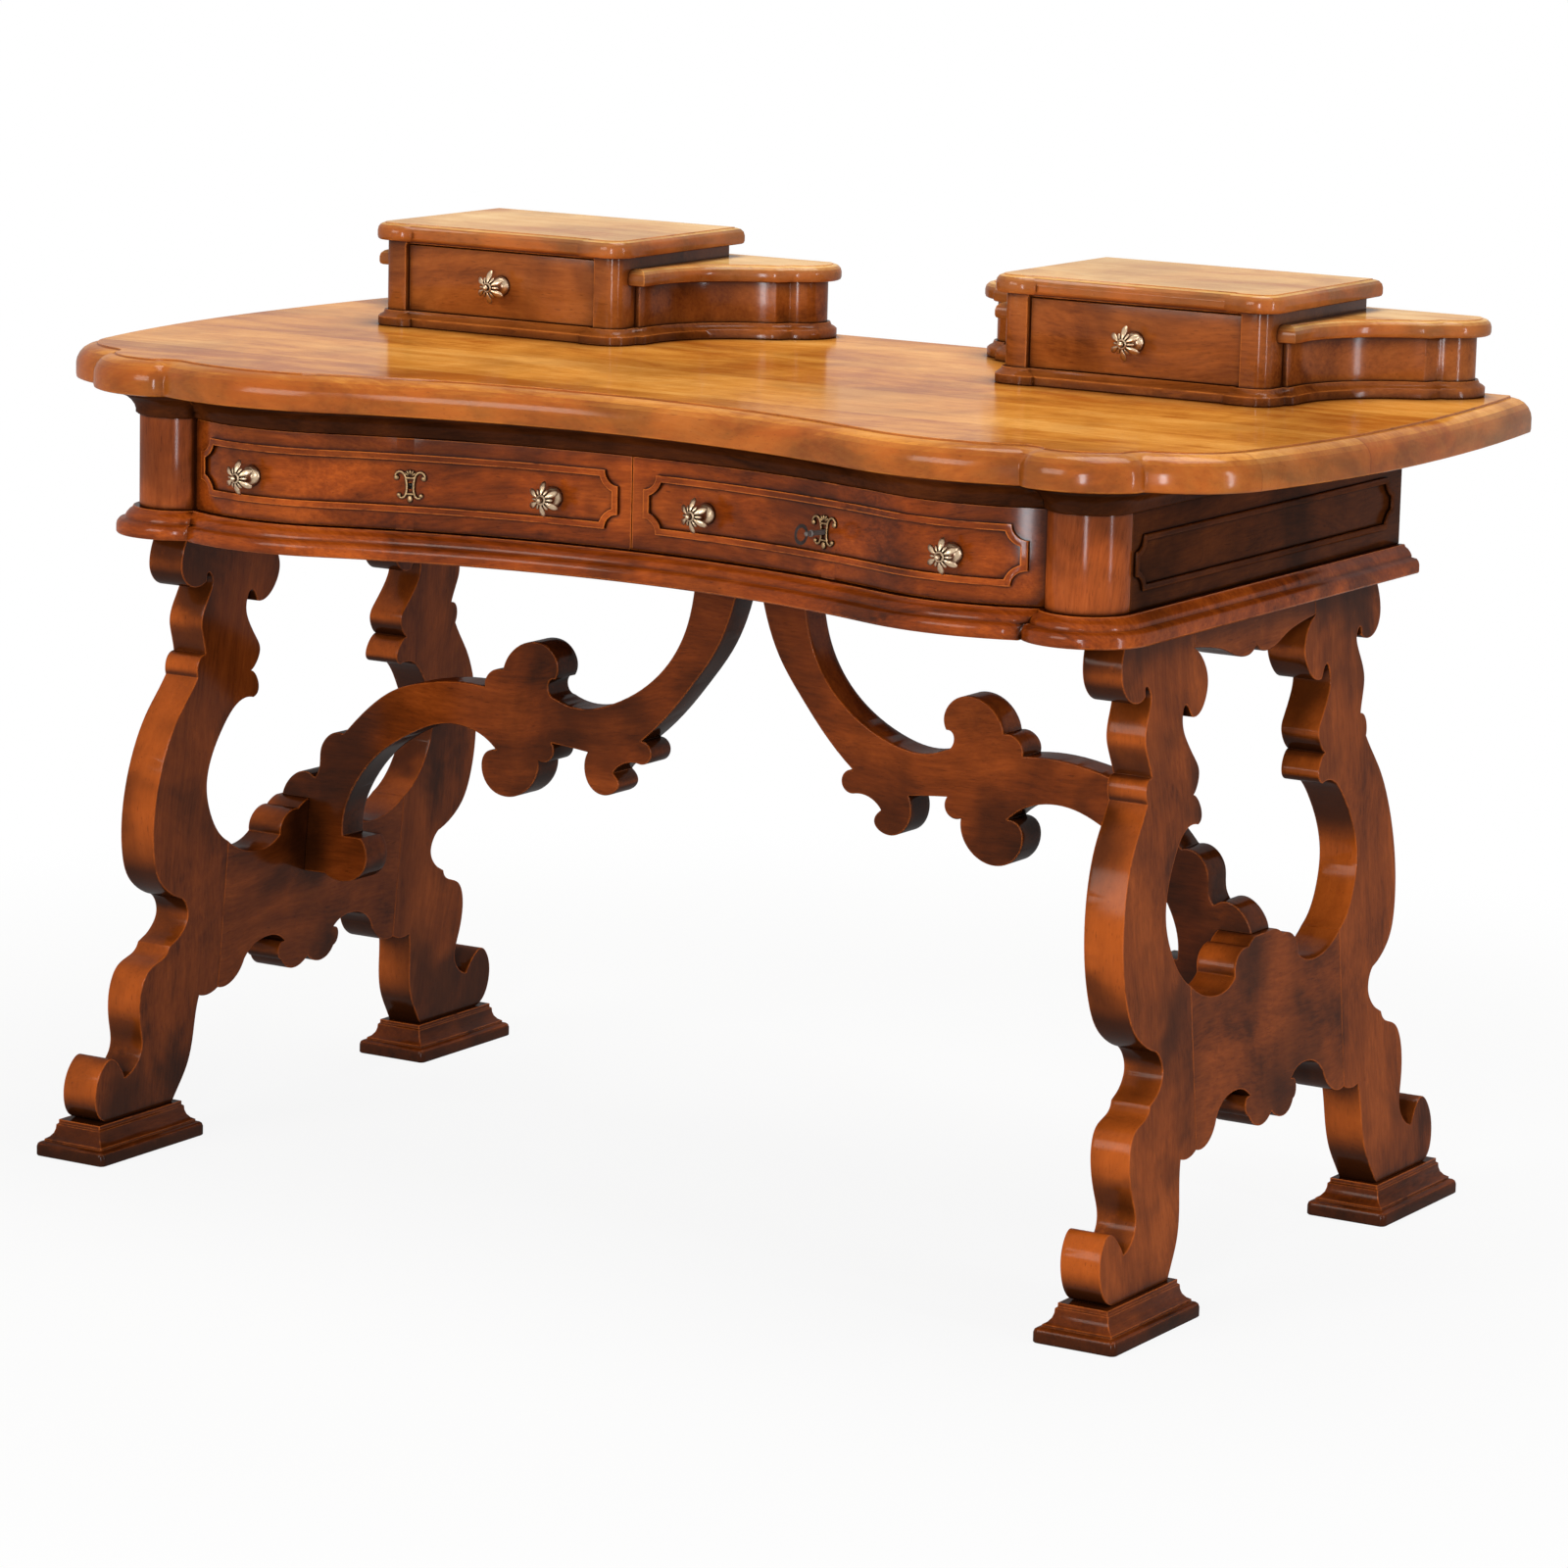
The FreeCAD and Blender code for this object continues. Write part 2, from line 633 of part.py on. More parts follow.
def case_outline(projection):
    """Return the outline of the case, moved out from its faces by a projection."""
    hollow, swell = front_arcs(size("case_set_in") - projection)
    step_x = POST_INNER_X - POST_STEP_SHARE * projection
    post_side = Vector(step_x, -size("post_front_y"), 0)
    post = Arc(POST_CENTRE, size("post_rounding") + projection)
    flank_start = POST_CENTRE + Vector(post.radius, 0, 0)
    back_corner = Vector(flank_start.x, size("case_back_y"), 0)
    step = Line(post_side + Vector(0, size("post_front_y"), 0), post_side)
    back = Line(back_corner, Vector(0, size("case_back_y"), 0))
    return mirrored([
        (hollow, 0, swell.centre),
        (swell, 0, post_side),
        (step, 0, post_side),
        (post, 0, flank_start),
        (Line(flank_start, back_corner), 0, back_corner),
    ], back)


def case_moulding(steps, reach, low, height):
    """Return a slab whose edge follows steps of (share of the reach, share of the height)."""
    wires = [case_outline(share * reach).wire(0, low + rise * height) for share, rise in steps]
    return Part.makeLoft(wires, True, True)


def drawer_back_outline():
    """Return the outline of the space between the posts, behind the drawer fronts."""
    hollow, swell = front_arcs(size("case_set_in") + size("drawer_front_thickness"))
    corner = Vector(POST_INNER_X, -size("post_front_y"), 0)
    back_corner = Vector(corner.x, size("case_back_y"), 0)
    back = Line(back_corner, Vector(0, size("case_back_y"), 0))
    return mirrored([
        (hollow, 0, swell.centre),
        (swell, 0, corner),
        (Line(corner, back_corner), 0, back_corner),
    ], back)


# Share of a moulding's projection by which its notch beside the post moves inwards
POST_STEP_SHARE = 0.6
TOP = top_outline()
CASE = case_outline(0)
DRAWER_BACKS = drawer_back_outline()

# Desk top: edge steps as shares of the edge's width and of the top's thickness
TOP_EDGE_SHARES = [
    (0.15, 0.00), (0.03, 0.03), (0.00, 0.10), (0.00, 0.42), (0.05, 0.56), (0.17, 0.70), (0.36, 0.82),
    (0.60, 0.90), (0.84, 0.94), (1.00, 0.945), (1.03, 1.00),
]
shaped("desk_top", TOP.moulded([
    (inset * size("top_edge_width"), TOP_UNDERSIDE + rise * size("top_thickness"))
    for inset, rise in TOP_EDGE_SHARES]))


# Case


CASE_BOTTOM = CASE.slab(TRESTLE_TOP, CASE_FLOOR)
shaped("case_bottom", CASE_BOTTOM)

# Base moulding: shares of its reach still standing out, and of its height
BASE_STEP_SHARES = [
    (0.95, 0.00), (1.00, 0.05), (1.00, 0.30), (0.96, 0.42), (0.86, 0.52), (0.62, 0.55), (0.62, 0.62),
    (0.56, 0.72), (0.44, 0.84), (0.30, 0.92), (0.26, 1.00),
]
base_ring = case_moulding(
    BASE_STEP_SHARES, size("base_moulding_reach"), TRESTLE_TOP, size("base_moulding_height"))
shaped("base_moulding", base_ring.cut(CASE_BOTTOM))

# Cornice: shares of its reach and of its height, with the rails behind it
CORNICE_STEP_SHARES = [
    (0.10, 0.00), (0.18, 0.06), (0.18, 0.20), (0.24, 0.36), (0.38, 0.54), (0.62, 0.72), (0.86, 0.80),
    (0.86, 0.88), (1.00, 0.92), (1.00, 1.00),
]
cornice = case_moulding(CORNICE_STEP_SHARES, size("cornice_reach"), CASE_CEILING, size("cornice_height"))
rail = size("cornice_rail_width")
hollow_front = front_arcs(size("case_set_in"))[0]
well_front = hollow_front.centre.y + hollow_front.radius + rail
well_half = size("case_half_width") - rail
well = Part.makeBox(
    2 * well_half, size("case_back_y") - rail - well_front, size("cornice_height"),
    Vector(-well_half, well_front, CASE_CEILING))
cornice = cornice.cut(well)

POST_REAR_Y = -size("post_front_y") + size("post_depth")
POST_BLOCK = CASE.slab(CASE_FLOOR, CASE_CEILING)
DRAWER_OUTER_X = POST_INNER_X - size("front_gap")
for side, side_name in ((-1, "left"), (1, "right")):
    post_corner = Vector(
        POST_INNER_X if side > 0 else -size("case_half_width"), -size("post_front_y"), CASE_FLOOR)
    post_space = Part.makeBox(
        size("post_width"), size("post_depth"), size("case_opening_height"), post_corner)
    shaped("%s_corner_post" % side_name, POST_BLOCK.common(post_space))

    outer = "Sizes.case_half_width"
    thickness = "Sizes.side_panel_thickness"
    panel_x = outer + " - " + thickness if side > 0 else "-" + outer
    panel = bound_box(
        "%s_side_panel" % side_name,
        (thickness, "Sizes.case_back_y + Sizes.post_front_y - Sizes.post_depth",
         "Sizes.case_opening_height"),
        (panel_x, "-Sizes.post_front_y + Sizes.post_depth",
         "Sizes.foot_height + Sizes.trestle_height + Sizes.base_moulding_height"))
    keep(panel, "%s_side_panel" % side_name)

back_panel = bound_box(
    "back_panel",
    ("2 * (Sizes.case_half_width - Sizes.side_panel_thickness)", "Sizes.back_panel_thickness",
     "Sizes.case_opening_height"),
    ("-Sizes.case_half_width + Sizes.side_panel_thickness",
     "Sizes.case_back_y - Sizes.back_panel_thickness",
     "Sizes.foot_height + Sizes.trestle_height + Sizes.base_moulding_height"))
keep(back_panel, "back_panel")


def scooped(length, height, scoop):
    """Return a rectangle about the origin whose four corners are hollowed out."""
    half_x, half_y = length / 2, height / 2
    corners = [Vector(x * half_x, y * half_y, 0) for x, y in SQUARE_WALK]
    sides = []
    for index, corner in enumerate(corners):
        following = corners[(index + 1) % len(corners)]
        ahead = (following - corner).normalize()
        across = (corners[(index + 2) % len(corners)] - following).normalize()
        sides.append((Line(corner, following), 0, following - ahead * scoop))
        sides.append((Arc(following, scoop, -1), 0, following + across * scoop))
    return Outline(sides)


def bead_frame(length, height, depth):
    """Return a raised frame about the origin, standing up from Z = 0."""
    outline = scooped(length, height, size("bead_scoop_radius"))
    return outline.slab(0, depth).cut(outline.slab(0, depth, size("panel_bead_width")))


panel_length = size("case_back_y") - POST_REAR_Y
for side, side_name in ((-1, "left"), (1, "right")):
    bead = bead_frame(
        panel_length - size("panel_bead_start") - size("panel_bead_end"), size("panel_bead_height"),
        size("panel_bead_depth"))
    bead.Placement = Placement(
        Vector(side * size("case_half_width"),
               (POST_REAR_Y + size("panel_bead_start") + size("case_back_y") - size("panel_bead_end")) / 2,
               CASE_FLOOR + size("panel_bead_rise") + size("panel_bead_height") / 2),
        Rotation(Vector(0, side, 0), Vector(0, 0, 1), Vector(side, 0, 0)))
    shaped("%s_side_bead" % side_name, bead)

# Drawers: everything behind the front stays clear of the divider and the guides
INNER_X = size("divider_thickness") / 2 + size("running_clearance")
OUTER_X = DRAWER_OUTER_X - size("running_clearance")
BOX_FLOOR = CASE_FLOOR + size("running_clearance")
BEHIND_FRONT = DRAWER_BACKS.slab(CASE_FLOOR, CASE_CEILING)


def block(x_low, x_high, y_low, y_high, z_low, z_high):
    """Return a box between two values along each axis."""
    return Part.makeBox(x_high - x_low, y_high - y_low, z_high - z_low, Vector(x_low, y_low, z_low))


def behind_front(x_low, x_high, y_high, z_low, z_high):
    """Return a board that starts against the back of the drawer fronts."""
    board = block(x_low, x_high, -size("crest_y"), y_high, z_low, z_high)
    return board.common(BEHIND_FRONT)


def right_or_left(shape, side):
    """Return a shape modelled on the right, or its mirror image for the left."""
    return shape if side > 0 else shape.mirror(Vector(0, 0, 0), Vector(1, 0, 0))


inner_back_y = size("case_back_y") - size("back_panel_thickness")
half_divider = size("divider_thickness") / 2
shaped("centre_divider", behind_front(-half_divider, half_divider, inner_back_y, CASE_FLOOR, CASE_CEILING))
guide = block(
    DRAWER_OUTER_X, size("case_half_width") - size("side_panel_thickness"), POST_REAR_Y, inner_back_y,
    CASE_FLOOR, CASE_CEILING)
shaped("drawer_guides", Part.makeCompound([guide, right_or_left(guide, -1)]))

# Place and heading of the hardware on the drawer faces
FACE_HOLLOW, FACE_SWELL = front_arcs(size("case_set_in"))


def on_face(reach_x, level, out=0):
    """Return a place on the right drawer's face, or a little out of it: its -Y axis points out."""
    change_x = FACE_HOLLOW.radius * SWELL_X / (size("hollow_radius") + size("swell_radius"))
    if reach_x < change_x:
        y = FACE_HOLLOW.centre.y + math.sqrt(FACE_HOLLOW.radius ** 2 - reach_x ** 2)
        angle = -math.degrees(math.asin(reach_x / FACE_HOLLOW.radius))
    else:
        from_crest = reach_x - FACE_SWELL.centre.x
        y = FACE_SWELL.centre.y - math.sqrt(FACE_SWELL.radius ** 2 - from_crest ** 2)
        angle = math.degrees(math.asin(from_crest / FACE_SWELL.radius))
    heading = Rotation(Vector(0, 0, 1), angle)
    return Placement(Vector(reach_x, y, level) + heading.multVec(Vector(0, -out, 0)), heading)


# Knob outline: shares of its radius and of its reach from the face
KNOB_SHARES = [
    (0.00, 0.00), (0.58, 0.00), (0.59, 0.04), (0.54, 0.10), (0.40, 0.16), (0.29, 0.22), (0.27, 0.36),
    (0.38, 0.48), (0.78, 0.54), (1.00, 0.57), (1.00, 0.62), (0.82, 0.70), (0.50, 0.77), (0.22, 0.82),
    (0.11, 0.84), (0.16, 0.89), (0.16, 0.94), (0.11, 0.98), (0.00, 1.00),
]


def knob(radius, reach):
    """Return a knob turned about the Y axis, standing out towards -Y from Y = 0."""
    points = [Vector(out * radius, -along * reach, 0) for out, along in KNOB_SHARES]
    profile = Part.Face(Part.makePolygon(points + [points[0]]))
    return profile.revolve(Vector(0, 0, 0), Vector(0, 1, 0), 360)


def disc(radius, y_low, y_high, x=0, z=0):
    """Return a round bar along the Y axis."""
    return Part.makeCylinder(radius, y_high - y_low, Vector(x, y_low, z), Vector(0, 1, 0))


# Escutcheon: arms of scrollwork, as shares of its half width and half height
ESCUTCHEON_ARM_SHARES = [(0.18, 0.05), (0.24, 0.50), (0.48, 0.80), (0.76, 0.82), (0.83, 0.49)]
ESCUTCHEON_FOOT_SHARES = [(0.18, 0.05), (0.24, -0.40), (0.42, -0.72), (0.66, -0.60)]
ESCUTCHEON_WIRE_SHARE = 0.085
PALMETTE_SHARE = 0.24
PALMETTE_RISE_SHARE = 0.76


def escutcheon():
    """Return the pierced plate about the keyhole, lying against the plane Y = 0."""
    half_x = size("escutcheon_width") / 2
    half_z = size("escutcheon_height") / 2
    thick = size("escutcheon_thickness")
    wire = ESCUTCHEON_WIRE_SHARE * half_x
    plate = disc(size("keyhole_radius") + 2 * wire, -thick, 0)
    for x_side in (-1, 1):
        for arm in (ESCUTCHEON_ARM_SHARES, ESCUTCHEON_FOOT_SHARES):
            points = [Vector(x * half_x * x_side, 0, z * half_z) for x, z in arm]
            for start, end in zip(points, points[1:]):
                plate = plate.fuse(bar(start, end, wire, thick))
            plate = plate.fuse(disc(2 * wire, -thick, 0, points[-1].x, points[-1].z))
    for rise in (PALMETTE_RISE_SHARE, -PALMETTE_RISE_SHARE):
        leaf = disc(PALMETTE_SHARE * half_z, -thick, 0, 0, rise * half_z)
        stem = bar(Vector(0, 0, 0), Vector(0, 0, rise * half_z), wire, thick)
        plate = plate.fuse(leaf).fuse(stem)
    hole = disc(size("keyhole_radius"), -2 * thick, thick)
    return plate.cut(hole).removeSplitter()


def bar(start, end, half_width, thick):
    """Return a flat bar with a round start, from one point to another on Y = 0."""
    ahead = (end - start).normalize()
    across = Vector(ahead.z, 0, -ahead.x) * half_width
    corners = [start + across, end + across, end - across, start - across]
    flat = Part.Face(Part.makePolygon(corners + [corners[0]])).extrude(Vector(0, -thick, 0))
    return flat.fuse(disc(half_width, -thick, 0, start.x, start.z))


# Lock: let into the back of the drawer front, its bolt in a slot open at the top
LOCK_PLACE = on_face(KEYHOLE_X, 0)
LOCK_BACK = size("drawer_front_thickness")
BOLT_Y = (size("lock_set_in") + LOCK_BACK) / 2
BOLT_LOW = FRONT_HIGH - size("bolt_height")


def placed(shape, place):
    """Return a copy of a shape moved by a placement."""
    moved = shape.copy()
    moved.Placement = place
    return moved


def lock_body():
    """Return the whole block of the lock case, without its cavities."""
    half = size("lock_width") / 2
    return block(-half, half, size("lock_set_in"), LOCK_BACK, KEY_LEVEL - size("lock_drop"), FRONT_HIGH)


def bolt_space(clearance, low, high):
    """Return the room of the bolt with a clearance about it, between two levels."""
    half = size("bolt_width") / 2 + clearance
    deep = size("bolt_thickness") / 2 + clearance
    return block(-half, half, BOLT_Y - deep, BOLT_Y + deep, low, high)


def key_parts():
    """Return the shank, the bow and the bit of the key about the Y axis at the keyhole."""
    radius = size("key_shank_radius")
    tip = size("lock_set_in") + size("lock_cavity_depth")
    shank = disc(radius, -size("key_reach"), tip, 0, KEY_LEVEL)
    across = size("key_bow_width") / 2 - size("key_bow_wire")
    along = size("key_bow_height") / 2 - size("key_bow_wire")
    bow_y = -size("key_reach") - along
    ring = Part.makeTorus(along, size("key_bow_wire"), Vector(0, 0, 0), Vector(1, 0, 0))
    stretch = FreeCAD.Matrix()
    stretch.scale(1, 1, across / along)
    ring = ring.transformGeometry(stretch)
    ring.translate(Vector(0, bow_y, KEY_LEVEL))
    bit = block(
        -radius / 2, radius / 2, size("lock_set_in") + size("running_clearance"),
        tip - size("running_clearance"), KEY_LEVEL - size("key_bit_height"), KEY_LEVEL)
    return shank.fuse(ring).fuse(bit)


keyway = disc(size("keyhole_radius"), -LOCK_BACK, LOCK_BACK, 0, KEY_LEVEL)
cavity = disc(
    size("lock_cavity_radius"), size("lock_set_in"),
    size("lock_set_in") + size("lock_cavity_depth") + size("running_clearance"), 0, KEY_LEVEL)
bolt = bolt_space(0, BOLT_LOW, FRONT_HIGH)
bolt_slot = bolt_space(size("running_clearance"), BOLT_LOW, FRONT_HIGH)
lock_case = lock_body().cut(bolt_slot).cut(cavity)
mortise = bolt_space(
    2 * size("running_clearance"), CASE_CEILING, FRONT_HIGH + size("bolt_throw") + size("front_gap"))

FRONT_BAND = CASE.slab(FRONT_LOW, FRONT_HIGH).cut(DRAWER_BACKS.slab(FRONT_LOW, FRONT_HIGH))
front_span = block(
    size("front_gap") / 2, DRAWER_OUTER_X, -size("crest_y"), 0, FRONT_LOW, FRONT_HIGH)
drawer_front = FRONT_BAND.common(front_span)
drawer_front = drawer_front.cut(placed(lock_body(), LOCK_PLACE)).cut(placed(keyway, LOCK_PLACE))

side_top = BOX_FLOOR + size("drawer_side_height")
drawer_back_y = inner_back_y - size("drawer_back_gap")
thick = size("drawer_side_thickness")
sides = [
    behind_front(x, x + thick, drawer_back_y, BOX_FLOOR, side_top)
    for x in (INNER_X, OUTER_X - thick)]
bottom_low = BOX_FLOOR + size("drawer_bottom_rise")
bottom_high = bottom_low + size("drawer_bottom_thickness")
drawer_bottom = behind_front(
    INNER_X + thick, OUTER_X - thick, drawer_back_y, bottom_low, bottom_high)
drawer_back = block(
    INNER_X + thick, OUTER_X - thick, drawer_back_y - thick, drawer_back_y,
    bottom_high, side_top)
bead_length = DRAWER_OUTER_X - 2 * size("drawer_bead_end")
drawer_bead = bead_frame(bead_length, size("drawer_bead_height"), size("crest_y"))
drawer_bead.Placement = Placement(
    Vector(DRAWER_OUTER_X / 2, 0, FRONT_LOW + size("drawer_bead_rise") + size("drawer_bead_height") / 2),
    Rotation(Vector(1, 0, 0), Vector(0, 0, 1), Vector(0, -1, 0)))
bead_skin = case_outline(size("panel_bead_depth")).slab(FRONT_LOW, FRONT_HIGH)
drawer_bead = drawer_bead.common(bead_skin.cut(CASE.slab(FRONT_LOW, FRONT_HIGH)))
knobs = [
    placed(knob(size("knob_radius"), size("knob_reach")),
           on_face(x, KEY_LEVEL, size("running_clearance")))
    for x in (share * POST_INNER_X for share in KNOB_PLACE_SHARES)]
for side, side_name in ((-1, "left"), (1, "right")):
    pieces = {
        "front": drawer_front,
        "sides": Part.makeCompound(sides),
        "back": drawer_back,
        "bottom": drawer_bottom,
        "bead": drawer_bead,
        "knobs": Part.makeCompound(knobs),
        "escutcheon": placed(
            escutcheon(), on_face(KEYHOLE_X, KEY_LEVEL, size("running_clearance"))),
        "lock": placed(lock_case, LOCK_PLACE),
        "bolt": placed(bolt, LOCK_PLACE),
    }
    for name, shape in pieces.items():
        shaped("%s_drawer_%s" % (side_name, name), right_or_left(shape, side))
    cornice = cornice.cut(right_or_left(placed(mortise, LOCK_PLACE), side))
shaped("key", placed(key_parts(), LOCK_PLACE))
shaped("cornice_moulding", cornice)


# Organizers


def organizer_outline():
    """Return an organizer's outline about X = 0: corner posts stand out at the front."""
    post_x = ORGANIZER_HALF_WIDTH - size("organizer_post_width")
    recess_y = size("organizer_front_y") + size("organizer_post_step")
    front = Line(Vector(0, recess_y, 0), Vector(post_x, recess_y, 0))
    step = Line(Vector(post_x, recess_y, 0), Vector(post_x, size("organizer_front_y"), 0))
    corner = Vector(ORGANIZER_HALF_WIDTH, size("organizer_front_y"), 0)
    post = Line(Vector(post_x, corner.y, 0), corner)
    back_corner = Vector(corner.x, size("organizer_back_y"), 0)
    flank = Line(corner, back_corner)
    back = Line(back_corner, Vector(0, back_corner.y, 0))
    outline = mirrored([
        (front, 0, step.start),
        (step, 0, post.start),
        (post, size("organizer_post_rounding"), corner),
        (flank, 0, back_corner),
    ], back)
    return outline


# Wing outline: shares of its width from the box and of its depth from the back
WING_START_SHARE = -0.15
WING_STRIP_SHARES = (0.05, 1.00)
WING_HOLLOW_SHARES = ((0.05, 0.945), (0.74, 0.329))
WING_HOLLOW_RADIUS_SHARE = 1.06
WING_NOTCH_SHARES = (0.80, 0.243)
WING_EAR_SHARES = (0.752, 0.105)
WING_EAR_RADIUS_SHARE = 0.248
WING_EAR_END_SHARE = 0.1


def wing_outline():
    """Return the outline of the right wing, from inside the box's flank outwards."""
    width, depth = size("wing_width"), size("wing_depth")

    def at(shares):
        """Return the point at two shares of the wing."""
        x_share, y_share = shares
        return Vector(ORGANIZER_HALF_WIDTH + x_share * width, size("wing_back_y") - y_share * depth, 0)

    strip = at(WING_STRIP_SHARES)
    start = at((WING_START_SHARE, WING_STRIP_SHARES[1]))
    low, high = at(WING_HOLLOW_SHARES[0]), at(WING_HOLLOW_SHARES[1])
    radius = WING_HOLLOW_RADIUS_SHARE * width
    chord = high - low
    across = Vector(chord.y, -chord.x, 0).normalize()
    centre = (low + high) / 2 + across * math.sqrt(radius ** 2 - (chord.Length / 2) ** 2)
    notch = at(WING_NOTCH_SHARES)
    ear = Arc(at(WING_EAR_SHARES), WING_EAR_RADIUS_SHARE * width)
    ear_end = ear.centre + Vector(ear.radius, 0, 0)
    back_start = Vector(start.x, size("wing_back_y"), 0)
    return Outline([
        (Line(start, strip), 0, strip),
        (Line(strip, low), 0, low),
        (Arc(centre, radius, -1), 0, high),
        (Line(high, notch), 0, notch),
        (ear, 0, ear_end + Vector(0, WING_EAR_END_SHARE * depth, 0)),
        (Line(Vector(ear_end.x, back_start.y, 0), back_start), 0, back_start),
        (Line(back_start, start), 0, start),
    ])


BOX_OUTLINE = organizer_outline()
WING = wing_outline()
BASE_HIGH = DESK_LEVEL + size("organizer_base_height")
BOX_HIGH = DESK_LEVEL + size("organizer_height")
WING_HIGH = DESK_LEVEL + size("wing_height")

carcass_block = BOX_OUTLINE.slab(DESK_LEVEL, BOX_HIGH)
well_half = ORGANIZER_HALF_WIDTH - size("organizer_post_width") + size("front_gap")
drawer_floor = BASE_HIGH
drawer_ceiling = BOX_HIGH - size("organizer_rail")
drawer_rear = size("organizer_back_y") - size("organizer_wall")
organizer_well = block(
    -well_half, well_half, size("organizer_front_y"), drawer_rear, drawer_floor, drawer_ceiling)
organizer_carcass = carcass_block.cut(organizer_well)

wing_pair = [WING.slab(DESK_LEVEL, WING_HIGH).cut(WING.slab(DESK_LEVEL, WING_HIGH, size("wing_wall")))]
wing_pair = [wing.cut(carcass_block) for wing in wing_pair]
wing_pair.append(right_or_left(wing_pair[0], -1))

# Organizer base: shares of its reach and of its height
ORGANIZER_BASE_SHARES = [(0.92, 0.00), (1.00, 0.08), (1.00, 0.55), (0.80, 0.66), (0.45, 0.78), (0.30, 1.00)]
reach = size("organizer_base_reach")
base_steps = [
    (-standing * reach, DESK_LEVEL + rise * size("organizer_base_height"))
    for standing, rise in ORGANIZER_BASE_SHARES]
wing_base = WING.moulded(base_steps)
organizer_base = BOX_OUTLINE.moulded(base_steps).fuse(wing_base).fuse(right_or_left(wing_base, -1))
wing_block = WING.slab(DESK_LEVEL, WING_HIGH)
organizer_base = organizer_base.cut(carcass_block).cut(wing_block).cut(right_or_left(wing_block, -1))
organizer_base = organizer_base.removeSplitter()

# Slabs: shares of their reach and of their thickness, both edges rounded
SLAB_EDGE_SHARES = [
    (0.80, 0.00), (0.94, 0.06), (1.00, 0.20), (1.00, 0.50), (0.92, 0.72), (0.72, 0.88), (0.45, 0.95),
    (0.35, 0.95), (0.30, 1.00),
]


def slab_steps(reach, low, thickness):
    """Return the edge steps of an organizer's slab."""
    return [(-standing * reach, low + rise * thickness) for standing, rise in SLAB_EDGE_SHARES]


organizer_top = BOX_OUTLINE.moulded(
    slab_steps(size("organizer_slab_reach"), BOX_HIGH, size("organizer_slab_thickness")))
wing_top = WING.moulded(slab_steps(size("wing_slab_reach"), WING_HIGH, size("wing_slab_thickness")))
wing_top = wing_top.cut(carcass_block)
wing_tops = Part.makeCompound([wing_top, right_or_left(wing_top, -1)])

gap = size("front_gap")
drawer_half = well_half - gap
drawer_front_y = size("organizer_front_y") + size("organizer_post_step")
organizer_drawer = block(
    -drawer_half, drawer_half, drawer_front_y, drawer_rear - gap,
    drawer_floor + size("running_clearance"), drawer_ceiling - gap)
wall = size("drawer_side_thickness")
organizer_drawer = organizer_drawer.cut(block(
    -drawer_half + wall, drawer_half - wall, drawer_front_y + wall, drawer_rear - gap - wall,
    drawer_floor + size("drawer_bottom_thickness"), drawer_ceiling))
organizer_knob = knob(size("knob_radius"), size("knob_reach"))
organizer_knob.translate(Vector(0, drawer_front_y, DESK_LEVEL + size("organizer_knob_rise")))

for side, side_name in ((-1, "left"), (1, "right")):
    pieces = {
        "top": organizer_top,
        "carcass": organizer_carcass,
        "base": organizer_base,
        "wing_walls": Part.makeCompound(wing_pair),
        "wing_tops": wing_tops,
        "drawer": organizer_drawer,
        "knob": organizer_knob,
    }
    for name, shape in pieces.items():
        item = shaped("%s_organizer_%s" % (side_name, name), shape)
        item.Placement = Placement(Vector(side * ORGANIZER_X, 0, 0), Rotation()) * shape.Placement


# Check every object, then write one file for each piece


DOC.recompute()
for item in DOC.Objects:
    if "Invalid" in item.State or "Error" in item.State:
        raise RuntimeError("%s failed: %s" % (item.Label, item.State))
for item in SUBPARTS:
    if item.Shape.isNull() or not item.Shape.isValid():
        raise RuntimeError("%s has no valid shape" % item.Label)
os.makedirs("parts", exist_ok=True)
for item in SUBPARTS:
    item.Shape.exportStep("parts/%s.step" % item.Label)
print("%d pieces" % len(SUBPARTS))
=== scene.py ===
"""The look of a carved writing desk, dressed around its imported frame.

X runs along the desk, the front faces -Y, the floor is Z = 0, and lengths are metres.
"""

from __future__ import annotations

import json
import logging
import math
from dataclasses import dataclass
from enum import Enum
from typing import Any

import bmesh
import bpy
from mathutils import Matrix, Vector

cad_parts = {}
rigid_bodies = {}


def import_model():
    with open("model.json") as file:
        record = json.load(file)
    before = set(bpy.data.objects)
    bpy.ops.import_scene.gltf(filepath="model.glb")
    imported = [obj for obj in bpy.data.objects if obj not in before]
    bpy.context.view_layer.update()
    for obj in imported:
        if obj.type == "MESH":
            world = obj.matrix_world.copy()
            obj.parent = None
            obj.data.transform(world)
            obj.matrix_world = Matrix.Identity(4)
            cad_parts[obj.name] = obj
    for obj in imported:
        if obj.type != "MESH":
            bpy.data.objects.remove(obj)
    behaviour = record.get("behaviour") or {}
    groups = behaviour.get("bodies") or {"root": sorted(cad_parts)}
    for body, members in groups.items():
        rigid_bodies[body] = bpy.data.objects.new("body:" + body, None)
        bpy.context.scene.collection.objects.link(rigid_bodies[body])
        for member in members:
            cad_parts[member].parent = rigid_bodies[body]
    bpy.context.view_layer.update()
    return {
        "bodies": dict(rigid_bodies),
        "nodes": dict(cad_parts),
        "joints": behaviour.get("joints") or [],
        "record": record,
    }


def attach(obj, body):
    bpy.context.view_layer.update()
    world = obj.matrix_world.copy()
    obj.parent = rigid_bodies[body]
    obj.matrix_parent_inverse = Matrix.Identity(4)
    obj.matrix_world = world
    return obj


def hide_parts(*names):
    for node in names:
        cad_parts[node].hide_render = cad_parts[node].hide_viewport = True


BMesh = bmesh.types.BMesh
Material = bpy.types.Material
Socket = bpy.types.NodeSocket
